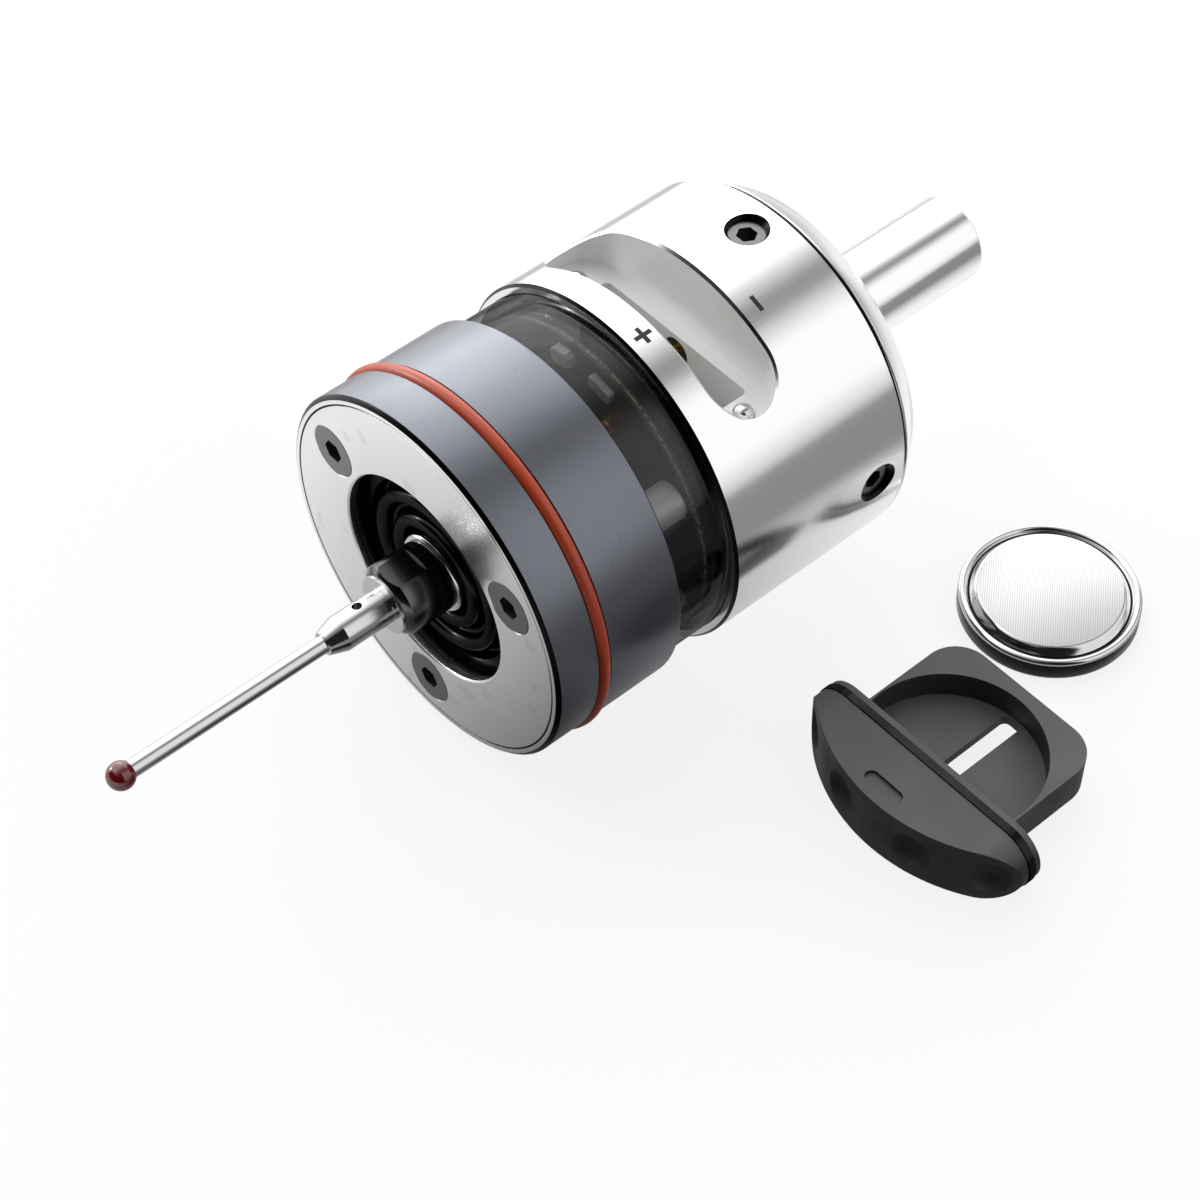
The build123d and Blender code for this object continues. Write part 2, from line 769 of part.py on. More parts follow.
def make_guide_ring():
    """The insulating ring with three slots, which hold the ball pairs."""
    ring = ring_solid(guide_ring_outer_radius, guide_ring_inner_radius, guide_ring_front, guide_ring_rear)
    centre_offset = guide_pin_diameter / 2 + guide_ball_gap + guide_ball_diameter / 2
    slot_opening = 2 * (centre_offset - guide_ball_diameter / 2 + guide_ball_stand_out)
    slot_reach = guide_pin_reach + guide_pin_end_room
    slot = Pos(0, (guide_ring_front + guide_ring_rear) / 2, slot_reach / 2)
    slot *= Box(slot_opening, guide_ring_rear - guide_ring_front + 2, slot_reach)
    pocket = Cylinder(guide_ball_diameter / 2 + thread_gap, guide_ball_diameter, rotation=(0, 90, 0))
    for turn in range(0, 360, 360 // guide_pin_count):
        ring -= slot.rotate(Axis.Y, turn)
        for place in guide_ball_places():
            ring -= (Pos(*place) * pocket).rotate(Axis.Y, turn)
    return ring


def make_seat_ring():
    """The hardened cone seat that the ball collar is pressed against."""
    outer = seat_outer_diameter / 2
    bore = seat_bore_diameter / 2
    clear = seat_gap / sin(radians(seat_angle))
    cone_rear = bore + (seat_rear - seat_front)
    return turned([
        (bore + clear, seat_front),
        (outer, seat_front),
        (outer, seat_rear),
        (cone_rear + clear, seat_rear),
    ])


def make_return_spring():
    height = spring_rear - spring_front
    mean = (spring_diameter - spring_wire) / 2
    pitch = (height - spring_wire) / spring_turns
    path = Helix(pitch=pitch, height=height - spring_wire, radius=mean)
    section = Plane(origin=path @ 0, z_dir=path % 0) * Circle(spring_wire / 2)
    coil = sweep(section, path=path, is_frenet=True)
    coil = Pos(0, 0, spring_wire / 2) * coil
    keep = Cylinder(spring_diameter, height, align=(Align.CENTER, Align.CENTER, Align.MIN))
    return Pos(0, spring_front, 0) * (coil & keep).rotate(Axis.X, -90)


def make_circuit_board():
    board = ring_solid(board_radius, board_hole_diameter / 2, board_front, board_rear)
    radius = face_screw_diameter / 2 + face_screw_clearance
    hole = rod_at(radius, board_front - 1, board_rear + 1, face_screw_circle, 0)
    for angle in face_screw_angles:
        board -= hole.rotate(Axis.Y, angle)
    return board


def block_on_board(length, width, height, circle, bevel):
    block = Box(length, height, width)
    block = chamfer(block.edges().filter_by(Axis.Y), bevel)
    top = block.faces().sort_by(Axis.Y)[0]
    block = chamfer(top.edges(), bevel / 3)
    return Pos(0, board_front - height / 2, circle) * block


def make_lamps():
    lamp = block_on_board(lamp_length, lamp_width, lamp_height, lamp_circle, lamp_width / 4)
    return group(spread(lamp, lamp_count, lamp_start_angle))


def make_chips():
    chip = block_on_board(chip_length, chip_width, chip_height, chip_circle, chip_width / 8)
    return group(spread(chip, lamp_count, chip_start_angle))


def make_contact_posts():
    """Gilt posts that carry the ball contacts' wiring from the guide ring to the board."""
    radius = contact_post_diameter / 2
    circle = guide_ring_outer_radius - radius - contact_post_edge
    post = rod_at(radius, guide_ring_rear, board_front, circle, 0)
    collar_start = board_front - contact_post_collar_length
    post += rod_at(radius + contact_post_collar, collar_start, board_front, circle, 0)
    return group(spread(post, guide_pin_count, contact_post_angle))


def make_stylus_base():
    """The stylus root: thread, barrel with a cross hole for a tightening pin, cone."""
    radius = stylus_base_diameter / 2
    shoulder = holder_front - stylus_base_length
    cone_end = shoulder - stylus_cone_length
    base = turned([
        (stem_diameter / 2, cone_end),
        (stylus_cone_end_diameter / 2, cone_end),
        (radius, shoulder),
        (radius, holder_front - stylus_collar_thickness),
        (stylus_collar_diameter / 2, holder_front - stylus_collar_thickness),
        (stylus_collar_diameter / 2, holder_front),
        (stylus_thread_diameter / 2, holder_front),
        (stylus_thread_diameter / 2, holder_front + stylus_thread_length),
        (0, holder_front + stylus_thread_length),
        (0, cone_end + stem_root_length),
        (stem_diameter / 2, cone_end + stem_root_length),
    ])
    hole_y = holder_front - stylus_cross_hole_from_rear
    hole = radial_rod(stylus_cross_hole_diameter / 2, -radius - 1, radius + 1, hole_y)
    return base - hole.rotate(Axis.Y, stylus_cross_hole_angle)


def make_stylus_stem():
    cone_end = holder_front - stylus_base_length - stylus_cone_length
    stem = rod(stem_diameter / 2, ball_centre_y, cone_end + stem_root_length)
    return stem - Pos(0, ball_centre_y, 0) * Sphere(ball_diameter / 2)


def make_ruby_ball():
    return Pos(0, ball_centre_y, 0) * Sphere(ball_diameter / 2)


def on_tray(piece):
    """Moves a piece from the tray's own frame to where it lies: apex to the front, pocket up."""
    return Pos(tray_centre_x, tray_axis_y, tray_floor_z) * piece


def tray_outline(shrink=0.0):
    """The cap's round-ended section, seen along the way it goes in."""
    section = obround(tray_width - 2 * shrink, tray_height - 2 * shrink)
    return Plane.XZ * (Pos(0, tray_height / 2) * section)


def tray_slice(shrink, start, end):
    """A slice of that section between two distances from the ring's axis."""
    return Pos(0, end, 0) * extrude(tray_outline(shrink), end - start)


def make_battery_tray():
    rear = -tray_cap_radius + tray_cap_depth
    gasket_rear = rear - tray_gasket_from_rear
    gasket_front = gasket_rear - tray_gasket_width
    shell = Cylinder(tray_cap_radius, tray_height, align=(Align.CENTER, Align.CENTER, Align.MIN))
    cap = tray_slice(0, -body_radius, rear) & shell
    groove_core = tray_slice(tray_gasket_depth, gasket_front, gasket_rear)
    cap -= tray_slice(-1, gasket_front, gasket_rear) - groove_core
    plate_low = (tray_height - tray_plate_thickness) / 2
    plate_top = plate_low + tray_plate_thickness
    plate = Rectangle(tray_plate_width, tray_plate_length + 1)
    plate = fillet(plate.vertices().group_by(Axis.Y)[-1], tray_corner_radius)
    plate = extrude(plate, tray_plate_thickness)
    tray = cap + Pos(0, rear + (tray_plate_length - 1) / 2, plate_low) * plate
    cell_y_here = -cell_seat_z
    pocket_radius = cell_diameter / 2 + cell_pocket_gap
    pocket = Cylinder(pocket_radius, cell_pocket_depth, align=(Align.CENTER, Align.CENTER, Align.MAX))
    tray -= Pos(0, cell_y_here, plate_top) * pocket
    slot_end = cell_y_here + pocket_radius - cell_slot_end_gap
    slot = Pos(0, slot_end - tray_plate_length / 2) * Rectangle(cell_slot_width, tray_plate_length)
    slot = fillet(slot.vertices().group_by(Axis.Y)[-1], cell_slot_width / 3)
    tray -= extrude(slot, plate_top - cell_slot_floor_gap)
    mark_y = -tray_cap_radius + tray_mark_from_rim
    mark = Pos(tray_mark_offset, mark_y) * obround(tray_mark_length, tray_mark_width)
    tray -= Pos(0, 0, tray_height - tray_mark_depth) * extrude(mark, 1)
    dimple_ball = (tray_dimple_diameter ** 2 / 4 + tray_dimple_depth ** 2) / (2 * tray_dimple_depth)
    dimple_y = -tray_cap_radius - dimple_ball + tray_dimple_depth
    dimple = Pos(0, dimple_y, tray_height / 2) * Sphere(dimple_ball)
    for angle in tray_dimple_angles:
        tray -= dimple.rotate(Axis.Z, angle)
    return on_tray(tray)


def make_tray_gasket():
    rear = -tray_cap_radius + tray_cap_depth
    end = rear - tray_gasket_from_rear - tray_gasket_side_gap
    start = end - tray_gasket_width + 2 * tray_gasket_side_gap
    return on_tray(tray_slice(-tray_gasket_proud, start, end) - tray_slice(tray_gasket_depth, start, end))


def make_coin_cell():
    """A lithium coin cell with its smaller cap upward."""
    radius = cell_diameter / 2
    cap = cell_cap_diameter / 2
    low = cell_can_height - cell_groove_depth
    profile = [
        (0, 0),
        (radius - cell_edge, 0),
        (radius, cell_edge),
        (radius, cell_can_height - cell_edge),
        (radius - cell_edge, cell_can_height),
        (cap + cell_groove_width, cell_can_height),
        (cap + cell_groove_width - cell_groove_slope, low),
        (cap + cell_groove_gap, low),
        (cap, cell_thickness - cell_cap_edge),
        (cap - cell_cap_edge, cell_thickness),
        (0, cell_thickness),
    ]
    face = Plane.XZ * make_face(Polyline(*profile, close=True))
    return Pos(cell_x, cell_y, floor_z) * revolve(face, axis=Axis.Z)


def make_all():
    ring = make_battery_ring()
    for hole in seat_ball_holes():
        ring -= hole
    return {
        "shank_flange": make_shank_flange(),
        "adjusting_screws": make_adjusting_screws(),
        "battery_ring": ring,
        "battery_sleeves": make_battery_sleeves(),
        "plus_contact": make_battery_contact(-1),
        "minus_contact": make_battery_contact(1),
        "slot_seat_balls": make_seat_balls(),
        "window_ring": make_window_ring(),
        "front_window_gasket": make_front_window_gasket(),
        "rear_window_gasket": make_rear_window_gasket(),
        "front_housing": make_front_housing(),
        "sealing_cord": make_sealing_cord(),
        "face_plate": make_face_plate(),
        "face_screws": make_face_screws(),
        "stylus_boot": make_boot(),
        "collar_ring": make_collar_ring(),
        "snap_ring": make_snap_ring(),
        "stylus_holder": make_stylus_holder(),
        "swivel_collar": make_swivel(),
        "thrust_ball": make_thrust_ball(),
        "spring_follower": make_spring_follower(),
        "guide_pins": make_guide_pins(),
        "guide_balls": make_guide_balls(),
        "guide_ring": make_guide_ring(),
        "seat_ring": make_seat_ring(),
        "return_spring": make_return_spring(),
        "circuit_board": make_circuit_board(),
        "board_lamps": make_lamps(),
        "board_chips": make_chips(),
        "contact_posts": make_contact_posts(),
        "stylus_base": make_stylus_base(),
        "stylus_stem": make_stylus_stem(),
        "ruby_ball": make_ruby_ball(),
        "battery_tray": make_battery_tray(),
        "tray_gasket": make_tray_gasket(),
        "coin_cell": make_coin_cell(),
    }


os.makedirs("parts", exist_ok=True)
for name, piece in make_all().items():
    export_step(piece, "parts/" + name + ".step")
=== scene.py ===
import bmesh
import bpy
import math
from mathutils import Matrix, Vector


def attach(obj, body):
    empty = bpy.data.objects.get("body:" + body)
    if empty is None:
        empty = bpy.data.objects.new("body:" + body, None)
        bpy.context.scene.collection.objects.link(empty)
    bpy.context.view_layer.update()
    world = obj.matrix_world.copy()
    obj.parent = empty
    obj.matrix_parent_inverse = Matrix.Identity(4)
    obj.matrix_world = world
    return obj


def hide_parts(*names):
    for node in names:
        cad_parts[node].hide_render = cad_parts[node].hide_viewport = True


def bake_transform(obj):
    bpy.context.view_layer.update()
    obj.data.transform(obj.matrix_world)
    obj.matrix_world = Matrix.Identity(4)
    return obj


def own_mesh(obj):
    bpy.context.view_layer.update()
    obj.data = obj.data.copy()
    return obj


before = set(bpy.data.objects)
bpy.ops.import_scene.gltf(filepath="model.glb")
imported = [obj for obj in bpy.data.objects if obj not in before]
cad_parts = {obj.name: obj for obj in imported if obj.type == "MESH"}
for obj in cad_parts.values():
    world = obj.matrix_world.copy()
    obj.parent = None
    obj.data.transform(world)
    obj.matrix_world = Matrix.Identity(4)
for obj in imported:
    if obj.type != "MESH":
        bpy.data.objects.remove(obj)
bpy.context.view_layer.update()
mm = 0.001
mergeDistance = 1e-6  # metres
bodySteps = 256  # flats round the probe's body
print("frame loaded", len(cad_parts), "nodes")


def hexColour(text):
    # sRGB hex to the linear values that Blender's sockets take
    channels = [int(text[i:i + 2], 16) / 255 for i in (1, 3, 5)]
    linear = [c / 12.92 if c <= 0.04045 else ((c + 0.055) / 1.055) ** 2.4 for c in channels]
    return (*linear, 1.0)


def addNode(tree, kind, settings=None, links=None):
    # settings: attribute or input -> value; links: input -> (node, output), or a node for its first output
    node = tree.nodes.new(kind)
    for key, value in (settings or {}).items():
        if isinstance(key, str) and hasattr(node, key):
            setattr(node, key, value)
        else:
            node.inputs[key].default_value = value
    for key, link in (links or {}).items():
        source, output = link if isinstance(link, tuple) else (link, 0)
        tree.links.new(source.outputs[output], node.inputs[key])
    return node


def newMaterial(name, surface):
    # a material with one Principled shader, its node tree and its coordinates
    material = bpy.data.materials.new(name)
    material.use_nodes = True
    tree = material.node_tree
    tree.nodes.clear()
    shader = addNode(tree, "ShaderNodeBsdfPrincipled", surface)
    addNode(tree, "ShaderNodeOutputMaterial", links={"Surface": shader})
    return material, tree, shader, addNode(tree, "ShaderNodeTexCoord")


def nodeOfType(tree, kind):
    return next(node for node in tree.nodes if node.type == kind)


def showShader(tree, node):
    # the material's surface comes from this node instead of its Principled shader
    tree.links.new(node.outputs["Shader"], nodeOfType(tree, "OUTPUT_MATERIAL").inputs["Surface"])


def blendBaseColour(tree, shader, first, second, share):
    # the base colour goes from the first colour to the second as the share rises
    colour = addNode(tree, "ShaderNodeMix", {"data_type": "RGBA", 6: first, 7: second}, {0: share})
    tree.links.new(colour.outputs[2], shader.inputs["Base Color"])


def setGreyRamp(node, stops):
    # stops: (value, grey), the ramp's ends being the first and the last value
    ramp = node.color_ramp
    first, last = stops[0][0], stops[-1][0]
    while len(ramp.elements) < len(stops):
        ramp.elements.new(0.5)
    for element, (value, grey) in zip(ramp.elements, stops):
        element.position = (value - first) / (last - first)
        element.color = (grey, grey, grey, 1)


def placeObject(name, data):
    holder = bpy.data.objects.new(name, data)
    bpy.context.scene.collection.objects.link(holder)
    return holder


def objectFrom(bm, name):
    mesh = bpy.data.meshes.new(name)
    bm.to_mesh(mesh)
    bm.free()
    return placeObject(name, mesh)


def moveBm(bm, x=0.0, y=0.0, z=0.0):
    # shifts a whole mesh by so many mm
    bmesh.ops.translate(bm, verts=bm.verts[:], vec=(x * mm, y * mm, z * mm))
    return bm


def turnBm(bm, degrees, axis="Y"):
    bmesh.ops.rotate(bm, verts=bm.verts[:], cent=(0, 0, 0),
                     matrix=Matrix.Rotation(math.radians(degrees), 3, axis))
    return bm


def facesOut(bm):
    bmesh.ops.recalc_face_normals(bm, faces=bm.faces[:])
    return bm


def turnedMesh(points, steps=192, axis="Y", centre=(0, 0, 0)):
    # spins an outline of (radius, height) in mm round the Y or Z axis
    bm = bmesh.new()
    outline = []
    for radius, height in points:
        place = (radius, height, 0) if axis == "Y" else (radius, 0, height)
        outline.append(bm.verts.new([value * mm for value in place]))
    for first, second in zip(outline, outline[1:] + outline[:1]):
        # a stretch on the axis itself makes no surface
        if first.co.x > 0 or second.co.x > 0:
            bm.edges.new((first, second))
    spinAxis = (0, 1, 0) if axis == "Y" else (0, 0, 1)
    bmesh.ops.spin(bm, geom=bm.verts[:] + bm.edges[:], cent=(0, 0, 0), axis=spinAxis, dvec=(0, 0, 0),
                   angle=2 * math.pi, steps=steps, use_merge=True, use_duplicate=False)
    bmesh.ops.remove_doubles(bm, verts=bm.verts[:], dist=mergeDistance)
    bmesh.ops.translate(bm, verts=bm.verts[:], vec=Vector(centre) * mm)
    return facesOut(bm)


def turnedPiece(name, s, steps=bodySteps):
    # a profile turned into a piece, its corners softened
    return objectFrom(softenCorners(turnedMesh(s["profile"], steps), s["edge"]), name)


def cylinderAlong(radius, low, high, axis, steps=48):
    return turnedMesh([(0, low), (radius, low), (radius, high), (0, high)], steps, axis)


def bevelEdges(bm, edges, width, segments, **options):
    bmesh.ops.bevel(bm, geom=edges, offset=width * mm, segments=segments, profile=0.5,
                    affect="EDGES", material=-1, **options)
    return bm


def softenCorners(bm, width, minimumAngle=25):
    # a small round on every edge that is sharper than the angle
    sharp = [e for e in bm.edges
             if len(e.link_faces) == 2 and e.calc_face_angle() > math.radians(minimumAngle)]
    return bevelEdges(bm, sharp, width, 2, clamp_overlap=True)


def extrudeFace(bm, face, x=0.0, y=0.0, z=0.0):
    # pulls a face out into a solid, by so many mm
    grown = bmesh.ops.extrude_face_region(bm, geom=[face])
    moved = [v for v in grown["geom"] if isinstance(v, bmesh.types.BMVert)]
    bmesh.ops.translate(bm, verts=moved, vec=(x * mm, y * mm, z * mm))


def prismAlongZ(outline, low, high):
    # a straight prism on an outline of (x, y) in mm
    bm = bmesh.new()
    face = bm.faces.new([bm.verts.new((x * mm, y * mm, low * mm)) for x, y in outline])
    extrudeFace(bm, face, z=high - low)
    return facesOut(bm)


def hexPrism(acrossFlats, depth, lead=0.5):
    # a hexagon standing on the Z axis, from its lead above 0 down to -depth
    radius = acrossFlats / math.sqrt(3)
    corners = [math.radians(degrees) for degrees in range(0, 360, 60)]
    return prismAlongZ([(radius * math.cos(a), radius * math.sin(a)) for a in corners], -depth, lead)


def roundedBar(width, height, straight, steps=24):
    # outline with half-round ends, longest along x, its long sides in so many straight parts
    radius = height / 2
    reach = width / 2 - radius
    points = []
    for side, start in ((1, -90), (-1, 90)):
        for step in range(steps + 1):
            turn = math.radians(start + 180 * step / steps)
            points.append((side * reach + radius * math.cos(turn), radius * math.sin(turn)))
        for step in range(1, straight):
            points.append((side * reach * (1 - 2 * step / straight), side * radius))
    return points


def joinMeshes(bms):
    joined = bmesh.new()
    for bm in bms:
        mesh = bpy.data.meshes.new("part")
        bm.to_mesh(mesh)
        bm.free()
        joined.from_mesh(mesh)
        bpy.data.meshes.remove(mesh)
    return joined


def cutWith(piece, cutters, operation="DIFFERENCE", materials=()):
    # applies exact booleans one after the other and deletes the cutters
    for number, bm in enumerate(cutters):
        cutter = objectFrom(bm, piece.name + "_cutter")
        for layer in materials:
            cutter.data.materials.append(layer)
        modifier = piece.modifiers.new("cut" + str(number), "BOOLEAN")
        modifier.operation = operation
        modifier.solver = "EXACT"
        modifier.material_mode = "TRANSFER" if materials else "INDEX"
        modifier.object = cutter
        bpy.context.view_layer.update()
        evaluated = piece.evaluated_get(bpy.context.evaluated_depsgraph_get())
        mesh = bpy.data.meshes.new_from_object(evaluated)
        piece.modifiers.clear()
        old = piece.data
        piece.data = mesh
        bpy.data.meshes.remove(old)
        bpy.data.objects.remove(cutter)


def paintFaces(piece, number, test):
    # the faces whose middle passes the test (radius, y in mm) get another of the piece's materials
    for face in piece.data.polygons:
        middle = face.center / mm
        if test(math.hypot(middle.x, middle.z), middle.y):
            face.material_index = number


def dress(piece, material, body, replaced=(), smooth=32):
    # material, shading, body and the CAD node that the piece stands for
    if material:
        piece.data.materials.clear()
        piece.data.materials.append(material)
    piece.data.shade_smooth()
    piece.data.set_sharp_from_angle(angle=math.radians(smooth))
    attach(piece, body)
    if replaced:
        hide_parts(*replaced)


cameraSettings = {
    "place": (155.8, -164.25, 227.2), "azimuth": 48.67, "elevation": 50.23,
    "lens": 88.565, "sensor": 36, "near": 0.01,
}


def makeCamera(s):
    camera = bpy.data.cameras.new("photoCamera")
    camera.lens = s["lens"]
    camera.sensor_width = s["sensor"]
    camera.sensor_fit = "HORIZONTAL"
    camera.clip_start = s["near"]
    holder = placeObject("photoCamera", camera)
    az, el = math.radians(s["azimuth"]), math.radians(s["elevation"])
    forward = Vector((-math.sin(az) * math.cos(el), math.cos(az) * math.cos(el), -math.sin(el)))
    holder.location = Vector(s["place"]) * mm
    holder.rotation_euler = forward.to_track_quat("-Z", "Y").to_euler()
    bpy.context.scene.camera = holder


makeCamera(cameraSettings)

floorSettings = {
    "z": -21.42, "size": 4.0, "paint": "#f6f6f6", "roughness": 0.9, "ownLight": 0.84,
    # painted light: for every ray but the camera's the floor glows, and what metal and rubber see is
    # painted shade in front of the probe, bright beside it, grey further out; each field has its start and end in
    # mm and the brightness at both
    "paintedShadeCentre": (33, -61), "paintedShadeField": (9, 74, 0.01, 1.0),
    "slant": (1, 0.45, 0), "rightField": (27, 68, 1.0, 0.27),
    # brightness by x in mm: a painted shade strip left of the probe
    "strip": [(-150, 1.7), (-108, 1.3), (-80, 0.42), (-62, 0.62), (-40, 1.0)],
    "diffuseShare": 0.4,
}


def makeFloor(s):
    bm = bmesh.new()
    bmesh.ops.create_grid(bm, x_segments=1, y_segments=1, size=s["size"] / 2)
    floor = objectFrom(moveBm(bm, z=s["z"]), "studioFloor")
    material, tree, shader, coordinates = newMaterial("paintedFloor", {
        "Base Color": hexColour(s["paint"]), "Roughness": s["roughness"]})
    glow = addNode(tree, "ShaderNodeEmission", {"Color": (1, 1, 1, 1), "Strength": 1.0})
    seen = addNode(tree, "ShaderNodeMixShader", {"Fac": s["ownLight"]}, {1: shader, 2: glow})
    centre = tuple(value * mm for value in (*s["paintedShadeCentre"], s["z"]))
    far = addNode(tree, "ShaderNodeVectorMath", {"operation": "DISTANCE", 1: centre},
                  {0: (coordinates, "Object")})
    slanted = addNode(tree, "ShaderNodeVectorMath", {"operation": "DOT_PRODUCT", 1: s["slant"]},
                      {0: (coordinates, "Object")})
    fields = []
    for source, (low, high, start, end) in ((far, s["paintedShadeField"]), (slanted, s["rightField"])):
        fields.append(addNode(tree, "ShaderNodeMapRange", {
            "From Min": low * mm, "From Max": high * mm, "To Min": start, "To Max": end},
            {"Value": (source, "Value")}))
    both = addNode(tree, "ShaderNodeMath", {"operation": "MULTIPLY"}, {0: fields[0], 1: fields[1]})
    parts = addNode(tree, "ShaderNodeSeparateXYZ", {}, {"Vector": (coordinates, "Object")})
    first, last = s["strip"][0][0], s["strip"][-1][0]
    sideways = addNode(tree, "ShaderNodeMapRange", {"From Min": first * mm, "From Max": last * mm},
                       {"Value": (parts, "X")})
    strip = addNode(tree, "ShaderNodeValToRGB", {}, {"Fac": sideways})
    setGreyRamp(strip, s["strip"])
    level = addNode(tree, "ShaderNodeMath", {"operation": "MULTIPLY"}, {0: both, 1: strip})
    # dull surfaces get less of the painted glow than bright metal
    path = addNode(tree, "ShaderNodeLightPath")
    dull = addNode(tree, "ShaderNodeMapRange", {"To Min": 1.0, "To Max": s["diffuseShare"]},
                   {"Value": (path, "Is Diffuse Ray")})
    sent = addNode(tree, "ShaderNodeMath", {"operation": "MULTIPLY"}, {0: level, 1: dull})
    # painted light: the floor glows in place of its bounced light, darkened by the painted shade fields
    paintedBounceGlow = addNode(tree, "ShaderNodeEmission", {}, {"Strength": sent})
    showShader(tree, addNode(tree, "ShaderNodeMixShader", {}, {
        "Fac": (path, "Is Camera Ray"), 1: paintedBounceGlow, 2: seen}))
    floor.data.materials.append(material)


makeFloor(floorSettings)

lampSettings = {
    # places and sizes in m
    "leftBackBox": {"place": (-0.62, 0.32, 0.34), "target": (0, -0.03, 0), "size": (0.34, 0.50), "power": 0.7},
    "lowLeftSpot": {"place": (-0.53, -0.25, 0.16), "target": (0, -0.05, 0), "size": (0.08, 0.08), "power": 0.5},
}


def makeLamp(name, s):
    light = bpy.data.lights.new(name, "AREA")
    light.shape = "RECTANGLE"
    light.size, light.size_y = s["size"]
    light.energy = s["power"]
    lamp = placeObject(name, light)
    lamp.location = s["place"]
    lamp.rotation_euler = (Vector(s["target"]) - Vector(s["place"])).to_track_quat("-Z", "Y").to_euler()


for lampName, settings in lampSettings.items():
    makeLamp(lampName, settings)

worldSettings = {
    # brightness round the probe's axis, by angle from straight up toward the tray: a broad light
    # to the left, a narrow dark gap overhead, a plain wall to the right and a dark horizon there
    "stops": [(-180, 0.20), (-125, 0.40), (-104, 0.95), (-80, 0.95), (-64, 0.66), (-30, 0.72), (-16, 0.48),
              (-4, 0.26), (6, 0.10), (14, 0.10), (24, 0.26), (34, 0.37), (74, 0.37), (86, 0.26),
              (96, 0.12), (130, 0.10), (180, 0.20)],
    "strength": 3.0, "darkLevel": 0.04,
    # the open, unlit side of the studio lies in front of the stylus and reaches further back on
    # the right; each region fades in along two parts of the view direction
    "unlit": [[("Y", -0.42, -0.60), ("Z", 0.88, 0.64)], [("X", 0.15, 0.42), ("Y", 0.0, -0.14)]],
}


def makeWorld(s):
    world = bpy.data.worlds.new("studio")
    bpy.context.scene.world = world
    world.use_nodes = True
    tree = world.node_tree
    tree.nodes.clear()
    direction = addNode(tree, "ShaderNodeTexCoord")
    parts = addNode(tree, "ShaderNodeSeparateXYZ", {}, {"Vector": (direction, "Generated")})
    angle = addNode(tree, "ShaderNodeMath", {"operation": "ARCTAN2"}, {0: (parts, "X"), 1: (parts, "Z")})
    place = addNode(tree, "ShaderNodeMapRange", {"From Min": -math.pi, "From Max": math.pi}, {"Value": angle})
    ramp = addNode(tree, "ShaderNodeValToRGB", {}, {"Fac": place})
    setGreyRamp(ramp, s["stops"])
    regions = []
    for region in s["unlit"]:
        first, second = [addNode(tree, "ShaderNodeMapRange", {
            "interpolation_type": "SMOOTHSTEP", "From Min": start, "From Max": end},
            {"Value": (parts, part)}) for part, start, end in region]
        regions.append(addNode(tree, "ShaderNodeMath", {"operation": "MULTIPLY"}, {0: first, 1: second}))
    dark = addNode(tree, "ShaderNodeMath", {"operation": "MAXIMUM"}, {0: regions[0], 1: regions[1]})
    level = addNode(tree, "ShaderNodeMapRange", {"To Min": s["strength"], "To Max": s["darkLevel"]},
                    {"Value": dark})
    back = addNode(tree, "ShaderNodeBackground", {}, {"Color": ramp, "Strength": level})
    addNode(tree, "ShaderNodeOutputWorld", {}, {"Surface": back})


makeWorld(worldSettings)
bpy.context.scene.view_settings.view_transform = "Standard"
print("camera, floor and light made")


def axisRadius(tree, coordinates):
    # a point's three parts, and its distance from the probe's axis
    parts = addNode(tree, "ShaderNodeSeparateXYZ", {}, {"Vector": (coordinates, "Object")})
    flat = addNode(tree, "ShaderNodeCombineXYZ", {}, {"X": (parts, "X"), "Z": (parts, "Z")})
    radius = addNode(tree, "ShaderNodeVectorMath", {"operation": "LENGTH"}, {0: flat})
    return parts, radius


def cloudOver(tree, coordinates, size, detail, span, reach):
    # clouds of so many mm; where their noise runs over the span, the value runs over the reach
    cloud = addNode(tree, "ShaderNodeTexNoise", {"Scale": 1 / (size * mm), "Detail": detail},
                    {"Vector": (coordinates, "Object")})
    return addNode(tree, "ShaderNodeMapRange", {
        "From Min": span[0], "From Max": span[1], "To Min": reach[0], "To Max": reach[1]},
        {"Value": (cloud, "Fac")})


def grainBump(tree, coordinates, grain, detail, strength, height=0.03):
    # grain width and height in mm
    noise = addNode(tree, "ShaderNodeTexNoise", {"Scale": 1 / (grain * mm), "Detail": detail},
                    {"Vector": (coordinates, "Object")})
    return addNode(tree, "ShaderNodeBump", {"Strength": strength, "Distance": height * mm},
                   {"Height": (noise, "Fac")})


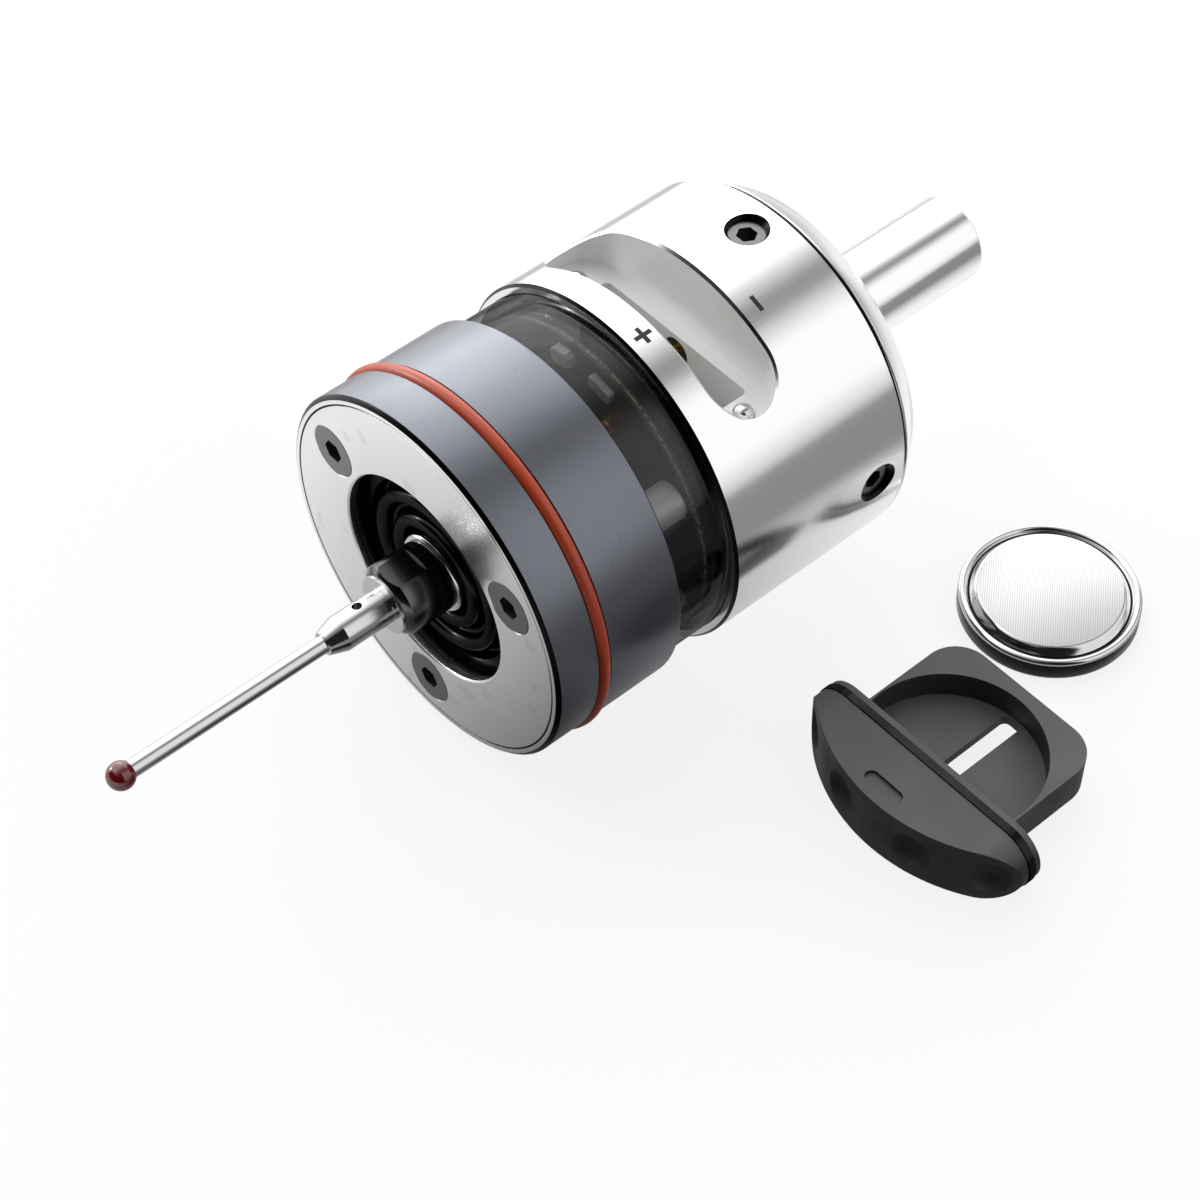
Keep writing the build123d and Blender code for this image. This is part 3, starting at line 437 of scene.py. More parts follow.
def turnedMetal(name, colour, roughness, spacing, depth, mottle=0.04, grooveHeight=0.02, cloudSize=9):
    # lathe-turned metal: fine rings that catch the light as a soft sheen across the grooves
    material, tree, shader, coordinates = newMaterial(name, {
        "Base Color": hexColour(colour), "Metallic": 1.0, "Roughness": roughness})
    parts, radius = axisRadius(tree, coordinates)
    # y plus radius runs along the axis on a cylinder, and outwards on a face
    total = addNode(tree, "ShaderNodeMath", {"operation": "ADD"}, {0: (parts, "Y"), 1: (radius, "Value")})
    rings = addNode(tree, "ShaderNodeMath", {"operation": "MULTIPLY", 1: 1 / (spacing * mm)}, {0: total})
    grooves = addNode(tree, "ShaderNodeTexNoise", {
        "noise_dimensions": "1D", "Scale": 1.0, "Detail": 3.0, "Roughness": 0.6}, {"W": rings})
    bump = addNode(tree, "ShaderNodeBump", {"Strength": depth, "Distance": grooveHeight * mm},
                   {"Height": (grooves, "Fac")})
    tree.links.new(bump.outputs["Normal"], shader.inputs["Normal"])
    cloud = addNode(tree, "ShaderNodeTexNoise", {"Scale": 1 / (cloudSize * mm), "Detail": 2.0},
                    {"Vector": (coordinates, "Object")})
    both = addNode(tree, "ShaderNodeMix", {"data_type": "FLOAT", "Factor": 0.5},
                   {2: (grooves, "Fac"), 3: (cloud, "Fac")})
    rough = addNode(tree, "ShaderNodeMapRange", {
        "From Min": 0.3, "From Max": 0.7, "To Min": roughness - mottle, "To Max": roughness + mottle},
        {"Value": (both, 0)})
    tree.links.new(rough.outputs["Result"], shader.inputs["Roughness"])
    return material


def addRubs(material, darker, length, width, share, lean=(0.5, 0.9, 0.4), fade=0.03):
    # sparse rubs of so many mm, seen as faint darker strokes where the noise is over the share
    tree = material.node_tree
    shader = nodeOfType(tree, "BSDF_PRINCIPLED")
    coordinates = addNode(tree, "ShaderNodeTexCoord")
    turned = addNode(tree, "ShaderNodeMapping", {
        "Rotation": lean, "Scale": (1 / (length * mm), 1 / (width * mm), 1 / (length * mm))},
        {"Vector": (coordinates, "Object")})
    strokes = addNode(tree, "ShaderNodeTexNoise", {"Scale": 1.0, "Detail": 1.0}, {"Vector": turned})
    mask = addNode(tree, "ShaderNodeMapRange", {"From Min": share, "From Max": share + fade},
                   {"Value": (strokes, "Fac")})
    base = tuple(shader.inputs["Base Color"].default_value)
    rubbed = tuple(value * darker for value in base[:3]) + (1.0,)
    blendBaseColour(tree, shader, base, rubbed, mask)


def blackRubber(name, colour, roughness, sheen, grain):
    # oiled black rubber: nearly no light of its own, and thin sharp glints on the crests of its folds
    material, tree, shader, coordinates = newMaterial(name, {
        "Base Color": hexColour(colour), "Roughness": 0.6, "Specular IOR Level": 0.0})
    bump = grainBump(tree, coordinates, grain, 3.0, 0.05)
    share = cloudOver(tree, coordinates, 5, 2.0, (0.3, 0.7), (sheen * 0.7, sheen * 1.3))
    glint = addNode(tree, "ShaderNodeBsdfGlossy", {"Roughness": roughness}, {"Normal": bump})
    showShader(tree, addNode(tree, "ShaderNodeMixShader", {}, {
        "Fac": share, 1: shader, 2: glint}))
    return material


def mouldedMaterial(name, colour, roughness, grain, depth, extra=None):
    # moulded rubber or plastic: a fine even grain breaks the gloss
    surface = {"Base Color": hexColour(colour), "Roughness": roughness}
    surface.update(extra or {})
    material, tree, shader, coordinates = newMaterial(name, surface)
    bump = grainBump(tree, coordinates, grain, 4.0, depth)
    tree.links.new(bump.outputs["Normal"], shader.inputs["Normal"])
    rough = cloudOver(tree, coordinates, 6, 3.0, (0.35, 0.65), (roughness * 0.85, roughness * 1.15))
    tree.links.new(rough.outputs["Result"], shader.inputs["Roughness"])
    return material


def paintedLitTops(material, side, top, low, high, cloudSize=2.5, uneven=0.2):
    # painted light: faces that look up are painted lighter than the ones that stand, by the height of their
    # normal, in uneven patches
    tree = material.node_tree
    geometry = addNode(tree, "ShaderNodeNewGeometry")
    parts = addNode(tree, "ShaderNodeSeparateXYZ", {}, {"Vector": (geometry, "Normal")})
    coordinates = addNode(tree, "ShaderNodeTexCoord")
    cloud = addNode(tree, "ShaderNodeTexNoise", {"Scale": 1 / (cloudSize * mm), "Detail": 3.0},
                    {"Vector": (coordinates, "Object")})
    patches = addNode(tree, "ShaderNodeMath", {"operation": "MULTIPLY_ADD", 1: uneven, 2: -uneven / 2},
                      {0: (cloud, "Fac")})
    up = addNode(tree, "ShaderNodeMath", {"operation": "ADD"}, {0: (parts, "Z"), 1: patches})
    litTopShare = addNode(tree, "ShaderNodeMapRange", {"From Min": low, "From Max": high}, {"Value": up})
    blendBaseColour(tree, nodeOfType(tree, "BSDF_PRINCIPLED"), hexColour(side), hexColour(top), litTopShare)


# bare and bright, with soft bands of light along the probe
turnedAluminium = turnedMetal("turnedAluminium", "#f2f2f2", 0.16, spacing=0.22, depth=0.26, mottle=0.03)
# pale and matt from the beads
blastedAluminium = mouldedMaterial("blastedAluminium", "#efefee", 0.40, grain=0.12, depth=0.10,
                                   extra={"Metallic": 0.3})
# the plate's silk shine, with faint finger marks
satinAluminium = turnedMetal("satinAluminium", "#ececec", 0.26, spacing=0.18, depth=0.12, mottle=0.03)
# a blue-grey skin with a wide soft band of light and a few scratches
greyAnodised = turnedMetal("greyAnodisedAluminium", "#74777e", 0.33, spacing=0.20, depth=0.12, mottle=0.05)
addRubs(greyAnodised, darker=0.60, length=2.4, width=0.16, share=0.745)
addRubs(satinAluminium, darker=0.90, length=2.6, width=1.8, share=0.66)
# black with sharp glints on its edges
blackAnodised = turnedMetal("blackAnodisedAluminium", "#606062", 0.17, spacing=0.15, depth=0.06, mottle=0.02)
# nearly a mirror
groundSteel = turnedMetal("groundStylusSteel", "#d0d0d0", 0.12, spacing=0.12, depth=0.06, mottle=0.02)
hardenedSteel = turnedMetal("hardenedBearingSteel", "#a9abad", 0.22, spacing=0.15, depth=0.10)
# dark grey and dull
blackenedSteel = turnedMetal("blackenedScrewSteel", "#727273", 0.34, spacing=0.12, depth=0.10)
# painted shade and painted dark reflection on narrow edges and in holes, black beside bright metal
paintedShadeMetal = turnedMetal("edgeMetalPaintedShade", "#19191b", 0.30, spacing=0.15, depth=0.05, mottle=0.02)
giltBrass = turnedMetal("giltBrass", "#d8a94e", 0.22, spacing=0.20, depth=0.10)
springWire = turnedMetal("springWire", "#9a9b9d", 0.28, spacing=0.30, depth=0.10)
# brick orange with a soft gloss
orangeSilicone = mouldedMaterial("orangeSiliconeCord", "#b84322", 0.38, grain=0.25, depth=0.10)
blackNitrile = blackRubber("blackNitrileRubber", "#060607", 0.16, sheen=0.022, grain=0.30)
# charcoal and dry, its flat tops painted lighter than its sides as painted light
darkNylon = mouldedMaterial("glassFilledNylon", "#4f4f51", 0.55, grain=0.12, depth=0.30,
                            extra={"Specular IOR Level": 0.35})
paintedLitTops(darkNylon, "#343436", "#5c5c5f", low=0.45, high=0.95)
blackAcetal = mouldedMaterial("blackAcetal", "#161617", 0.40, grain=0.25, depth=0.10)
# pale matt blocks behind the window
chipEpoxy = mouldedMaterial("chipEpoxy", "#c6c6c2", 0.45, grain=0.15, depth=0.20)
lampEpoxy = mouldedMaterial("lampEpoxy", "#cfcfc8", 0.40, grain=0.40, depth=0.05)
# a deep red glassy ball
ruby = mouldedMaterial("polishedRuby", "#740c12", 0.14, grain=0.60, depth=0.0, extra={
    "Transmission Weight": 0.25, "IOR": 1.76, "Coat Weight": 0.1, "Coat Roughness": 0.05})
# painted reflection: the can's side is painted dark in place of a dark reflection, and the groove round the cap
# gets painted shade
paintedDarkCanSide = mouldedMaterial("nickelCanSidePaintedDark", "#1e1e1f", 0.28, grain=0.60, depth=0.04,
                             extra={"Metallic": 1.0})
markPaint = mouldedMaterial("blackMarkPaint", "#161618", 0.50, grain=0.10, depth=0.05)

boardSettings = {
    "mask": "#1f221d", "fibre": "#97956a", "fibreDark": "#3a3a24", "roughness": 0.40,
    "rimRadius": 18.2, "coreY": -29.2, "coreHalf": 0.16, "speck": 0.5, "speckSpan": (0.42, 0.55),
}


def makeBoardLaminate(s):
    # black solder mask, and at the board's rim the pale glass fibre core with specks of copper
    material, tree, shader, coordinates = newMaterial("blackSolderMask", {"Roughness": s["roughness"]})
    parts, radius = axisRadius(tree, coordinates)
    rim = addNode(tree, "ShaderNodeMath", {"operation": "GREATER_THAN", 1: s["rimRadius"] * mm},
                  {0: (radius, "Value")})
    middle = addNode(tree, "ShaderNodeMath", {
        "operation": "COMPARE", 1: s["coreY"] * mm, 2: s["coreHalf"] * mm}, {0: (parts, "Y")})
    both = addNode(tree, "ShaderNodeMath", {"operation": "MULTIPLY"}, {0: rim, 1: middle})
    tone = cloudOver(tree, coordinates, s["speck"], 2.0, s["speckSpan"], (0.0, 1.0))
    fibre = addNode(tree, "ShaderNodeMix", {
        "data_type": "RGBA", 6: hexColour(s["fibreDark"]), 7: hexColour(s["fibre"])}, {0: tone})
    colour = addNode(tree, "ShaderNodeMix", {"data_type": "RGBA", 6: hexColour(s["mask"])},
                     {0: both, 7: (fibre, 2)})
    tree.links.new(colour.outputs[2], shader.inputs["Base Color"])
    return material


solderMask = makeBoardLaminate(boardSettings)

acrylicSettings = {
    "tint": "#e9e8e9", "edgeTint": "#0c0c0d", "roughness": 0.06, "cloud": 4,
    # share of glint from square on to grazing, and how late both effects set in
    "glint": (0.03, 0.32), "glintPower": 5.0, "edgePower": 2.0,
}


def makeAcrylic(s):
    # water-clear moulded acrylic: what is behind shows through, the studio glints on the skin
    material, tree, shader, coordinates = newMaterial("clearAcrylic", {})
    tree.nodes.remove(shader)
    rough = cloudOver(tree, coordinates, s["cloud"], 2.0, (0.0, 1.0),
                      (s["roughness"] * 0.5, s["roughness"] * 1.5))
    glint = addNode(tree, "ShaderNodeBsdfGlossy", {}, {"Roughness": rough})
    # the glint grows toward grazing view in the same way from both sides of the thin wall
    facing = addNode(tree, "ShaderNodeLayerWeight", {"Blend": 0.5})
    steep = addNode(tree, "ShaderNodeMath", {"operation": "POWER", 1: s["glintPower"]}, {0: (facing, "Facing")})
    share = addNode(tree, "ShaderNodeMapRange", {"To Min": s["glint"][0], "To Max": s["glint"][1]},
                    {"Value": steep})
    # light that crosses the wall along its length is lost, so the window's outline is dark
    lost = addNode(tree, "ShaderNodeMath", {"operation": "POWER", 1: s["edgePower"]}, {0: (facing, "Facing")})
    clear = addNode(tree, "ShaderNodeMix", {
        "data_type": "RGBA", 6: hexColour(s["tint"]), 7: hexColour(s["edgeTint"])}, {0: lost})
    through = addNode(tree, "ShaderNodeBsdfTransparent", {}, {"Color": (clear, 2)})
    showShader(tree, addNode(tree, "ShaderNodeMixShader", {}, {
        "Fac": share, 1: through, 2: glint}))
    return material


acrylic = makeAcrylic(acrylicSettings)
print("materials made")

# the three long face screws, with their bosses, pillars and countersinks
screwCircle = 15.8
screwAngles = (-60, 60, 180)


def atFaceScrews(makeOne):
    return [turnBm(moveBm(makeOne(), z=screwCircle), angle) for angle in screwAngles]


ringSettings = {
    "profile": [(0, -24.15), (4.1, -24.15), (4.1, -27.35), (18.55, -27.35), (18.55, -26.35), (20.05, -26.35),
                (20.05, -27.35), (20.7, -27.35), (21, -27.05), (21, -3.62), (20.88, -3.50), (20.2, -3.50),
                (20.2, -3.35), (11.8, -3.35), (11.8, -14.2), (0, -14.2)],
    "radius": 21.0, "boss": 2.2, "bossFront": -28.7, "bossRear": -27.0, "bareFrontOf": -27.36,
    "slotCentre": -19.3, "mouth": (30.7, 8.1), "mouthParts": 36, "mouthChamfer": 0.3, "ledge": 12.0,
    "flareReach": 0.8, "cutAbove": 3,
    "chamber": (21.3, 5.0), "chamberFloor": -2.35, "chamberTop": 13, "chamberCorner": 4.0, "chamberEdge": 0.7,
    "seatBallReach": 12.65, "seatBallHole": 1.22, "seatBallDepth": 1.2, "seatBallLead": 1.0,
    "sleeve": 1.7, "sleeveZ": 9.7, "sleeveSpans": ((-29, -19.3), (-19.3, -14.0)),
    "screwY": -7.35, "screwHole": 2.0, "screwMouth": 0.45, "screwFloor": 11,
    # where painted shade goes: in the screw holes, in the rear slit and on the front chamfer
    "screwDarkFrom": 12.5, "slitFrom": -3.6, "chamferFrom": 20.72, "chamferRear": -27.1,
}


def mouthCutter(s):
    # the slot's round-ended mouth, flared where it meets the ring's skin
    width, height = s["mouth"]
    reach = width / 2 - height / 2
    chamfer = s["mouthChamfer"]
    wide = chamfer + s["flareReach"]
    outline = roundedBar(width, height, s["mouthParts"])
    bm = bmesh.new()
    loops = []
    # each loop: growth outwards, height over the ring's skin, and a fixed height where there is one
    for grow, rise, level in ((0, 0, s["ledge"]), (0, -chamfer, None), (chamfer, 0, None),
                              (wide, s["flareReach"], None), (wide, 0, s["radius"] + s["cutAbove"])):
        loop = []
        for x, y in outline:
            centre = max(-reach, min(reach, x))
            away = Vector((x - centre, y)).normalized() * grow
            px, py = x + away.x, y + away.y
            z = level if level else math.sqrt(s["radius"] ** 2 - px ** 2) + rise
            loop.append(bm.verts.new((px * mm, (py + s["slotCentre"]) * mm, z * mm)))
        loops.append(loop)
    for number, (low, high) in enumerate(zip(loops, loops[1:])):
        for i in range(len(low)):
            j = (i + 1) % len(low)
            face = bm.faces.new((low[i], low[j], high[j], high[i]))
            face.material_index = min(number, 1)  # the flare is turned with the ring's skin, not blasted
    bm.faces.new(loops[0])
    bm.faces.new(loops[-1])
    bmesh.ops.triangulate(bm, faces=[f for f in bm.faces if len(f.verts) > 4])
    return facesOut(bm)


def chamberCutter(s):
    # the narrower well below the ledge: round lower corners and eased upright edges
    width, depth = s["chamber"]
    front = s["slotCentre"] - depth / 2
    well = bmesh.new()
    corners = [(-width / 2, s["chamberFloor"]), (width / 2, s["chamberFloor"]),
               (width / 2, s["chamberTop"]), (-width / 2, s["chamberTop"])]
    face = well.faces.new([well.verts.new((x * mm, front * mm, z * mm)) for x, z in corners])
    extrudeFace(well, face, y=depth)
    lower = [e for e in well.edges if max(v.co.z for v in e.verts) < 0
             and abs(e.verts[0].co.y - e.verts[1].co.y) > depth * mm / 2]
    bevelEdges(well, lower, s["chamberCorner"], 10)
    upright = [e for e in well.edges if abs(e.verts[0].co.z - e.verts[1].co.z) > 2 * s["chamberCorner"] * mm]
    bevelEdges(well, upright, s["chamberEdge"], 6)
    return facesOut(well)


def makeBatteryRing(s):
    ring = objectFrom(turnedMesh(s["profile"], bodySteps), "batteryRing")
    cutWith(ring, atFaceScrews(lambda: cylinderAlong(s["boss"], s["bossFront"], s["bossRear"], "Y")), "UNION")
    ring.data.materials.append(turnedAluminium)
    inside = [mouthCutter(s), chamberCutter(s)]
    for side in (-1, 1):
        hole = cylinderAlong(s["seatBallHole"], s["ledge"] - s["seatBallDepth"], s["ledge"] + s["seatBallLead"],
                             "Z", 32)
        inside.append(moveBm(hole, side * s["seatBallReach"], s["slotCentre"]))
    for low, high in s["sleeveSpans"]:
        inside.append(moveBm(cylinderAlong(s["sleeve"], low, high, "Y", 32), z=s["sleeveZ"]))
    cutWith(ring, inside, "DIFFERENCE", (blastedAluminium, turnedAluminium))
    paintFaces(ring, 1, lambda radius, y: y < s["bareFrontOf"])
    # four set screw holes whose mouths widen at the ring's surface
    mouth = s["screwHole"] + s["screwMouth"]
    outline = [(0, s["screwFloor"]), (s["screwHole"], s["screwFloor"]),
               (s["screwHole"], s["radius"] - s["screwMouth"]),
               (mouth + 1, s["radius"] + 1), (0, s["radius"] + 1)]
    cutWith(ring, [turnBm(moveBm(turnedMesh(outline, 48, "Z"), y=s["screwY"]), angle)
                   for angle in range(0, 360, 90)])
    ring.data.materials.append(paintedShadeMetal)
    # painted shade and painted dark reflection in the screw holes, in the rear slit and on the front chamfer
    for face in ring.data.polygons:
        middle = face.center / mm
        beside = math.hypot(min(abs(middle.x), abs(middle.z)), middle.y - s["screwY"])
        around = math.hypot(middle.x, middle.z)
        chamfer = around > s["chamferFrom"] and middle.y < s["chamferRear"]
        if around > s["screwDarkFrom"] and (beside < mouth or middle.y > s["slitFrom"] or chamfer):
            face.material_index = 2
    dress(ring, None, "probe", ["battery_ring"])


makeBatteryRing(ringSettings)

discSettings = {
    "profile": [(0, -14.15), (11.55, -14.15), (11.75, -13.95), (11.75, -8.25), (10.85, -7.35), (11.75, -6.45),
                (11.75, -3.35), (20.8, -3.35), (21, -3.15), (18.7, 0), (5, 0), (5, 24.6), (4.4, 25.2), (0, 25.2)],
    "edge": 0.10,
}
dress(turnedPiece("shankAndDisc", discSettings),
      turnedAluminium, "probe", ["shank_flange"], 18)

housingSettings = {
    "profile": [(20.05, -51.05), (20.6, -51.05), (21, -50.65), (21, -45.8), (19.92, -45.8), (19.92, -44.2),
                (21, -44.2), (21, -35.05), (20.8, -34.85), (20.05, -34.85), (20.05, -36.65), (18.55, -36.65),
                (18.55, -34.85), (13.25, -34.85), (13.25, -41.35), (8.52, -41.35), (8.52, -43.24),
                (7.0, -43.24), (7.0, -44.74), (12.5, -44.74), (12.5, -48.35), (13.95, -48.35),
                (13.95, -49.05), (20.05, -49.05)],
    "edge": 0.06, "pillar": 2.2, "pillarFrom": -35.0, "pillarTo": -29.7, "pillarEdge": 0.1,
    # where the paint changes: the front rim, the front chamfer with its painted shade, and the pillars
    "facedTo": -50.68, "facedFrom": 20.1, "chamferTo": -50.64, "chamferFrom": 20.52, "blastedFrom": -34.8,
}


def makeHousing(s):
    bm = softenCorners(turnedMesh(s["profile"], bodySteps), s["edge"])
    pillars = atFaceScrews(lambda: softenCorners(
        cylinderAlong(s["pillar"], s["pillarFrom"], s["pillarTo"], "Y"), s["pillarEdge"]))
    housing = objectFrom(joinMeshes([bm] + pillars), "frontHousing")
    for material in (greyAnodised, turnedAluminium, blastedAluminium, paintedShadeMetal):
        housing.data.materials.append(material)
    # the front rim is faced bright after anodising, and the pillars are blasted
    paintFaces(housing, 1, lambda radius, y: y < s["facedTo"] and radius > s["facedFrom"])
    # the front chamfer gets painted dark reflection
    paintFaces(housing, 3, lambda radius, y: y < s["chamferTo"] and radius > s["chamferFrom"])
    paintFaces(housing, 2, lambda radius, y: y > s["blastedFrom"])
    dress(housing, None, "probe", ["front_housing"], 18)


makeHousing(housingSettings)

cordSettings = {"radius": 20.67, "thickness": 1.5, "y": -45.0, "partAngle": 20}


def makeSealingCord(s):
    half = s["thickness"] / 2
    turns = [math.radians(degrees) for degrees in range(0, 360, s["partAngle"])]
    profile = [(s["radius"] + half * math.cos(turn), s["y"] + half * math.sin(turn)) for turn in turns]
    cord = objectFrom(turnedMesh(profile, bodySteps), "sealingCord")
    dress(cord, orangeSilicone, "probe", ["sealing_cord"], 60)


makeSealingCord(cordSettings)

plateSettings = {
    "profile": [(12.2, -51.05), (19.92, -51.05), (19.92, -49.05), (12.7, -49.05), (12, -50.05), (12, -50.85)],
    "edge": 0.08, "face": -51.05, "sink": 3.05, "sinkLead": 1, "hole": 1.6, "holeDepth": 4,
}


def makeFacePlate(s):
    plate = turnedPiece("facePlate", s)
    front, rear = s["face"] - s["sinkLead"], s["face"] + s["holeDepth"]
    outline = [(0, front), (s["sink"] + s["sinkLead"], front), (s["hole"], s["face"] + s["sink"] - s["hole"]),
               (s["hole"], rear), (0, rear)]
    cutWith(plate, atFaceScrews(lambda: turnedMesh(outline, 64)))
    dress(plate, satinAluminium, "probe", ["face_plate"], 18)


makeFacePlate(plateSettings)

faceScrewSettings = {
    "face": -51.05, "head": 3.0, "headEdge": 0.1, "shank": 1.5, "length": 28, "socket": 2.3, "socketDepth": 1.1,
}


def makeFaceScrews(s):
    face, head, shank, tip = s["face"], s["head"], s["shank"], s["face"] + s["length"]
    outline = [(0, face), (head - s["headEdge"], face), (head, face + s["headEdge"]),
               (shank, face + head - shank), (shank, tip), (0, tip)]

    def oneScrew():
        screw = objectFrom(turnedMesh(outline, 64), "faceScrew")
        cutWith(screw, [moveBm(turnBm(hexPrism(s["socket"], s["socketDepth"]), 90, "X"), y=face)])
        bm = bmesh.new()
        bm.from_mesh(screw.data)
        bpy.data.objects.remove(screw)
        return bm

    screws = objectFrom(joinMeshes(atFaceScrews(oneScrew)), "faceScrews")
    dress(screws, blackenedSteel, "probe", ["face_screws"])


makeFaceScrews(faceScrewSettings)

markSettings = {
    "radius": 21.015, "parts": (12, 4),
    # angle on the ring, y, length round the ring, length along the axis
    "bars": [(11.0, -25.15, 2.1, 0.50), (11.0, -25.15, 0.50, 2.1), (20.8, -12.95, 1.9, 0.50)],
}


def makeMarks(s):
    # thin printed plus and minus signs beside the battery slot, bent round the ring
    bms = []
    depth = s["radius"] * mm
    for angle, y, around, along in s["bars"]:
        bm = bmesh.new()
        bmesh.ops.create_grid(bm, x_segments=s["parts"][0], y_segments=s["parts"][1], size=0.5)
        for vertex in bm.verts:
            turn = math.radians(angle) + vertex.co.x * around / s["radius"]
            vertex.co = (depth * math.sin(turn), (y + vertex.co.y * along) * mm, depth * math.cos(turn))
        bms.append(facesOut(bm))
    dress(objectFrom(joinMeshes(bms), "polarityMarks"), markPaint, "probe")


makeMarks(markSettings)

windowSettings = {"profile": [(20, -35.85), (20, -26.4), (18.6, -26.4), (18.6, -35.85)], "edge": 0.12}
dress(turnedPiece("lampWindow", windowSettings), acrylic, "probe", ["window_ring"])
print("probe body made")

bootSettings = {
    "wall": 0.45, "foldRadius": 0.70, "foldParts": 12, "firstRidge": 8.7, "pitch": 2.8, "folds": 2,
    "ridgeY": -48.925, "valleyY": (-47.925, -48.9), "plateRear": -49.05, "rimOuter": 13.9, "rimThickness": 0.7,
    "lipFront": -48.3, "lipRear": -47.7, "lipInner": 2.62,
    # the folds are cut into three rings, outermost first, and each ring into sectors; a ring gives
    # two body names, then its outer and inner radius in mm
    "bends": [("probe", "follower", 10.7, 8.1), ("follower", "thrust_ball", 8.1, 6.65),
              ("thrust_ball", "stylus", 6.65, 5.35)],
    "sectors": 12, "margin": 0.13,
}


def cutOut(whole, name, test):
    # the faces whose (radius in mm, turn in degrees) pass the test, with the whole mesh's own shading
    faces = []
    for face in whole.polygons:
        middle = face.center / mm
        if test(math.hypot(middle.x, middle.z), math.degrees(math.atan2(middle.x, middle.z)) % 360):
            faces.append(face)
    used = sorted({corner for face in faces for corner in face.vertices})
    number = {old: new for new, old in enumerate(used)}
    mesh = bpy.data.meshes.new(name)
    mesh.from_pydata([whole.vertices[old].co for old in used], [],
                     [[number[corner] for corner in face.vertices] for face in faces])
    mesh.shade_smooth()
    mesh.normals_split_custom_set([whole.corner_normals[i].vector for face in faces for i in face.loop_indices])
    mesh.materials.append(blackNitrile)
    return placeObject(name, mesh)


def bendBoot(whole, s):
    # the clamped rim stays on the probe, the lip under the collar goes with the stylus
    rim = cutOut(whole, "bootRim", lambda radius, turn: radius >= s["bends"][0][2])
    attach(rim, "probe")
    lip = cutOut(whole, "bootLip", lambda radius, turn: radius < s["bends"][-1][3])
    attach(lip, "stylus")
    pieces = [rim, lip]
    step = 360 / s["sectors"]
    for ring, (first, second, outer, inner) in enumerate(s["bends"]):
        for sector in range(s["sectors"]):
            name = "bootFold" + str(ring + 1) + "_" + str(sector + 1)
            piece = cutOut(whole, name, lambda radius, turn:
                           inner <= radius < outer and int(turn / step) == sector)
            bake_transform(piece)
            pieces.append(piece)
    for piece in pieces:
        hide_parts("stylus_boot")


def makeBoot(s):
    half, fold = s["wall"] / 2, s["foldRadius"]
    # the middle line of the wall, from the clamped rim inwards
    line = [(s["firstRidge"] + 3 * fold, s["plateRear"])]
    for number in range(s["folds"]):
        ridge = s["firstRidge"] - number * s["pitch"]
        for centre, height, side in ((ridge + 2 * fold, s["valleyY"][number], 1), (ridge, s["ridgeY"], -1)):
            for step in range(s["foldParts"] + 1):
                turn = math.radians(180 / s["foldParts"] * step)
                line.append((centre + fold * math.cos(turn), height + side * fold * math.sin(turn)))
    line.append((line[-1][0], s["lipRear"] - half))
    # both skins, half a wall to either side of it
    outer, inner = [], []
    for number, (radius, height) in enumerate(line):
        before = Vector(line[max(number - 1, 0)])
        after = Vector(line[min(number + 1, len(line) - 1)])
        along = (after - before).normalized()
        across = Vector((along.y, -along.x)) * half
        outer.append((radius + across.x, height + across.y))
        inner.append((radius - across.x, height - across.y))
    rear, face = (inner, outer) if inner[0][0] > outer[0][0] else (outer, inner)
    face[-1] = (face[-1][0], s["lipFront"])
    rear[-1] = (rear[-1][0], s["lipRear"])
    rimRear = s["plateRear"] + s["rimThickness"]
    rim = [(s["rimOuter"], rimRear), (s["rimOuter"], s["plateRear"])]
    lip = [(s["lipInner"], s["lipFront"]), (s["lipInner"], s["lipRear"])]
    whole = objectFrom(turnedMesh(rim + face + lip + rear[:0:-1] + [(rear[0][0], rimRear)]), "foldedBoot")
    whole.data.shade_smooth()
    whole.data.set_sharp_from_angle(angle=math.radians(50))
    bendBoot(whole.data, s)
    bpy.data.objects.remove(whole)


makeBoot(bootSettings)

collarSettings = {
    "profile": [(2.62, -49.95), (4.3, -49.95), (4.5, -49.75), (4.5, -48.3), (2.62, -48.3)], "edge": 0.06,
}
dress(turnedPiece("collarRing", collarSettings, 128),
      groundSteel, "stylus", ["collar_ring"], 18)

holderSettings = {
    "profile": [(0, -55.8), (3.35, -55.8), (4.0, -55.15), (4.0, -49.95), (2.6, -49.95), (2.6, -47.7), (2.3, -47.7),
                (2.3, -47.3), (2.6, -47.3), (2.6, -44.06), (1.98, -44.06), (1.98, -40.86), (0, -40.86)],
    "edge": 0.06, "flat": 3.6, "flatFrom": -56.5, "flatTo": -51.65, "cutReach": 6,
}


def makeHolder(s):
    holder = turnedPiece("stylusHolder", s, 160)
    reach = s["cutReach"]
    outline = [(-reach, s["flatFrom"]), (reach, s["flatFrom"]), (reach, s["flatTo"]), (-reach, s["flatTo"])]
    cutWith(holder, [prismAlongZ(outline, s["flat"], reach), prismAlongZ(outline, -reach, -s["flat"])])
    dress(holder, blackAnodised, "stylus", ["stylus_holder"], 18)


makeHolder(holderSettings)

stylusSettings = {
    "base": [(0.95, -63.7), (1.3, -63.7), (1.95, -61.7), (1.95, -56.15), (3.3, -56.15), (3.3, -55.8), (1.0, -55.8),
             (1.0, -51.8), (0, -51.8), (0, -60.7), (0.95, -60.7)],
    "edge": 0.05, "hole": 0.55, "holeY": -59.05, "holeAngle": -11, "holeReach": 4,
    "stem": [(0, -88.1), (0.95, -88.1), (0.95, -60.7), (0, -60.7)],
    "ballY": -88.1, "ball": 1.5, "ballParts": (96, 48),
}


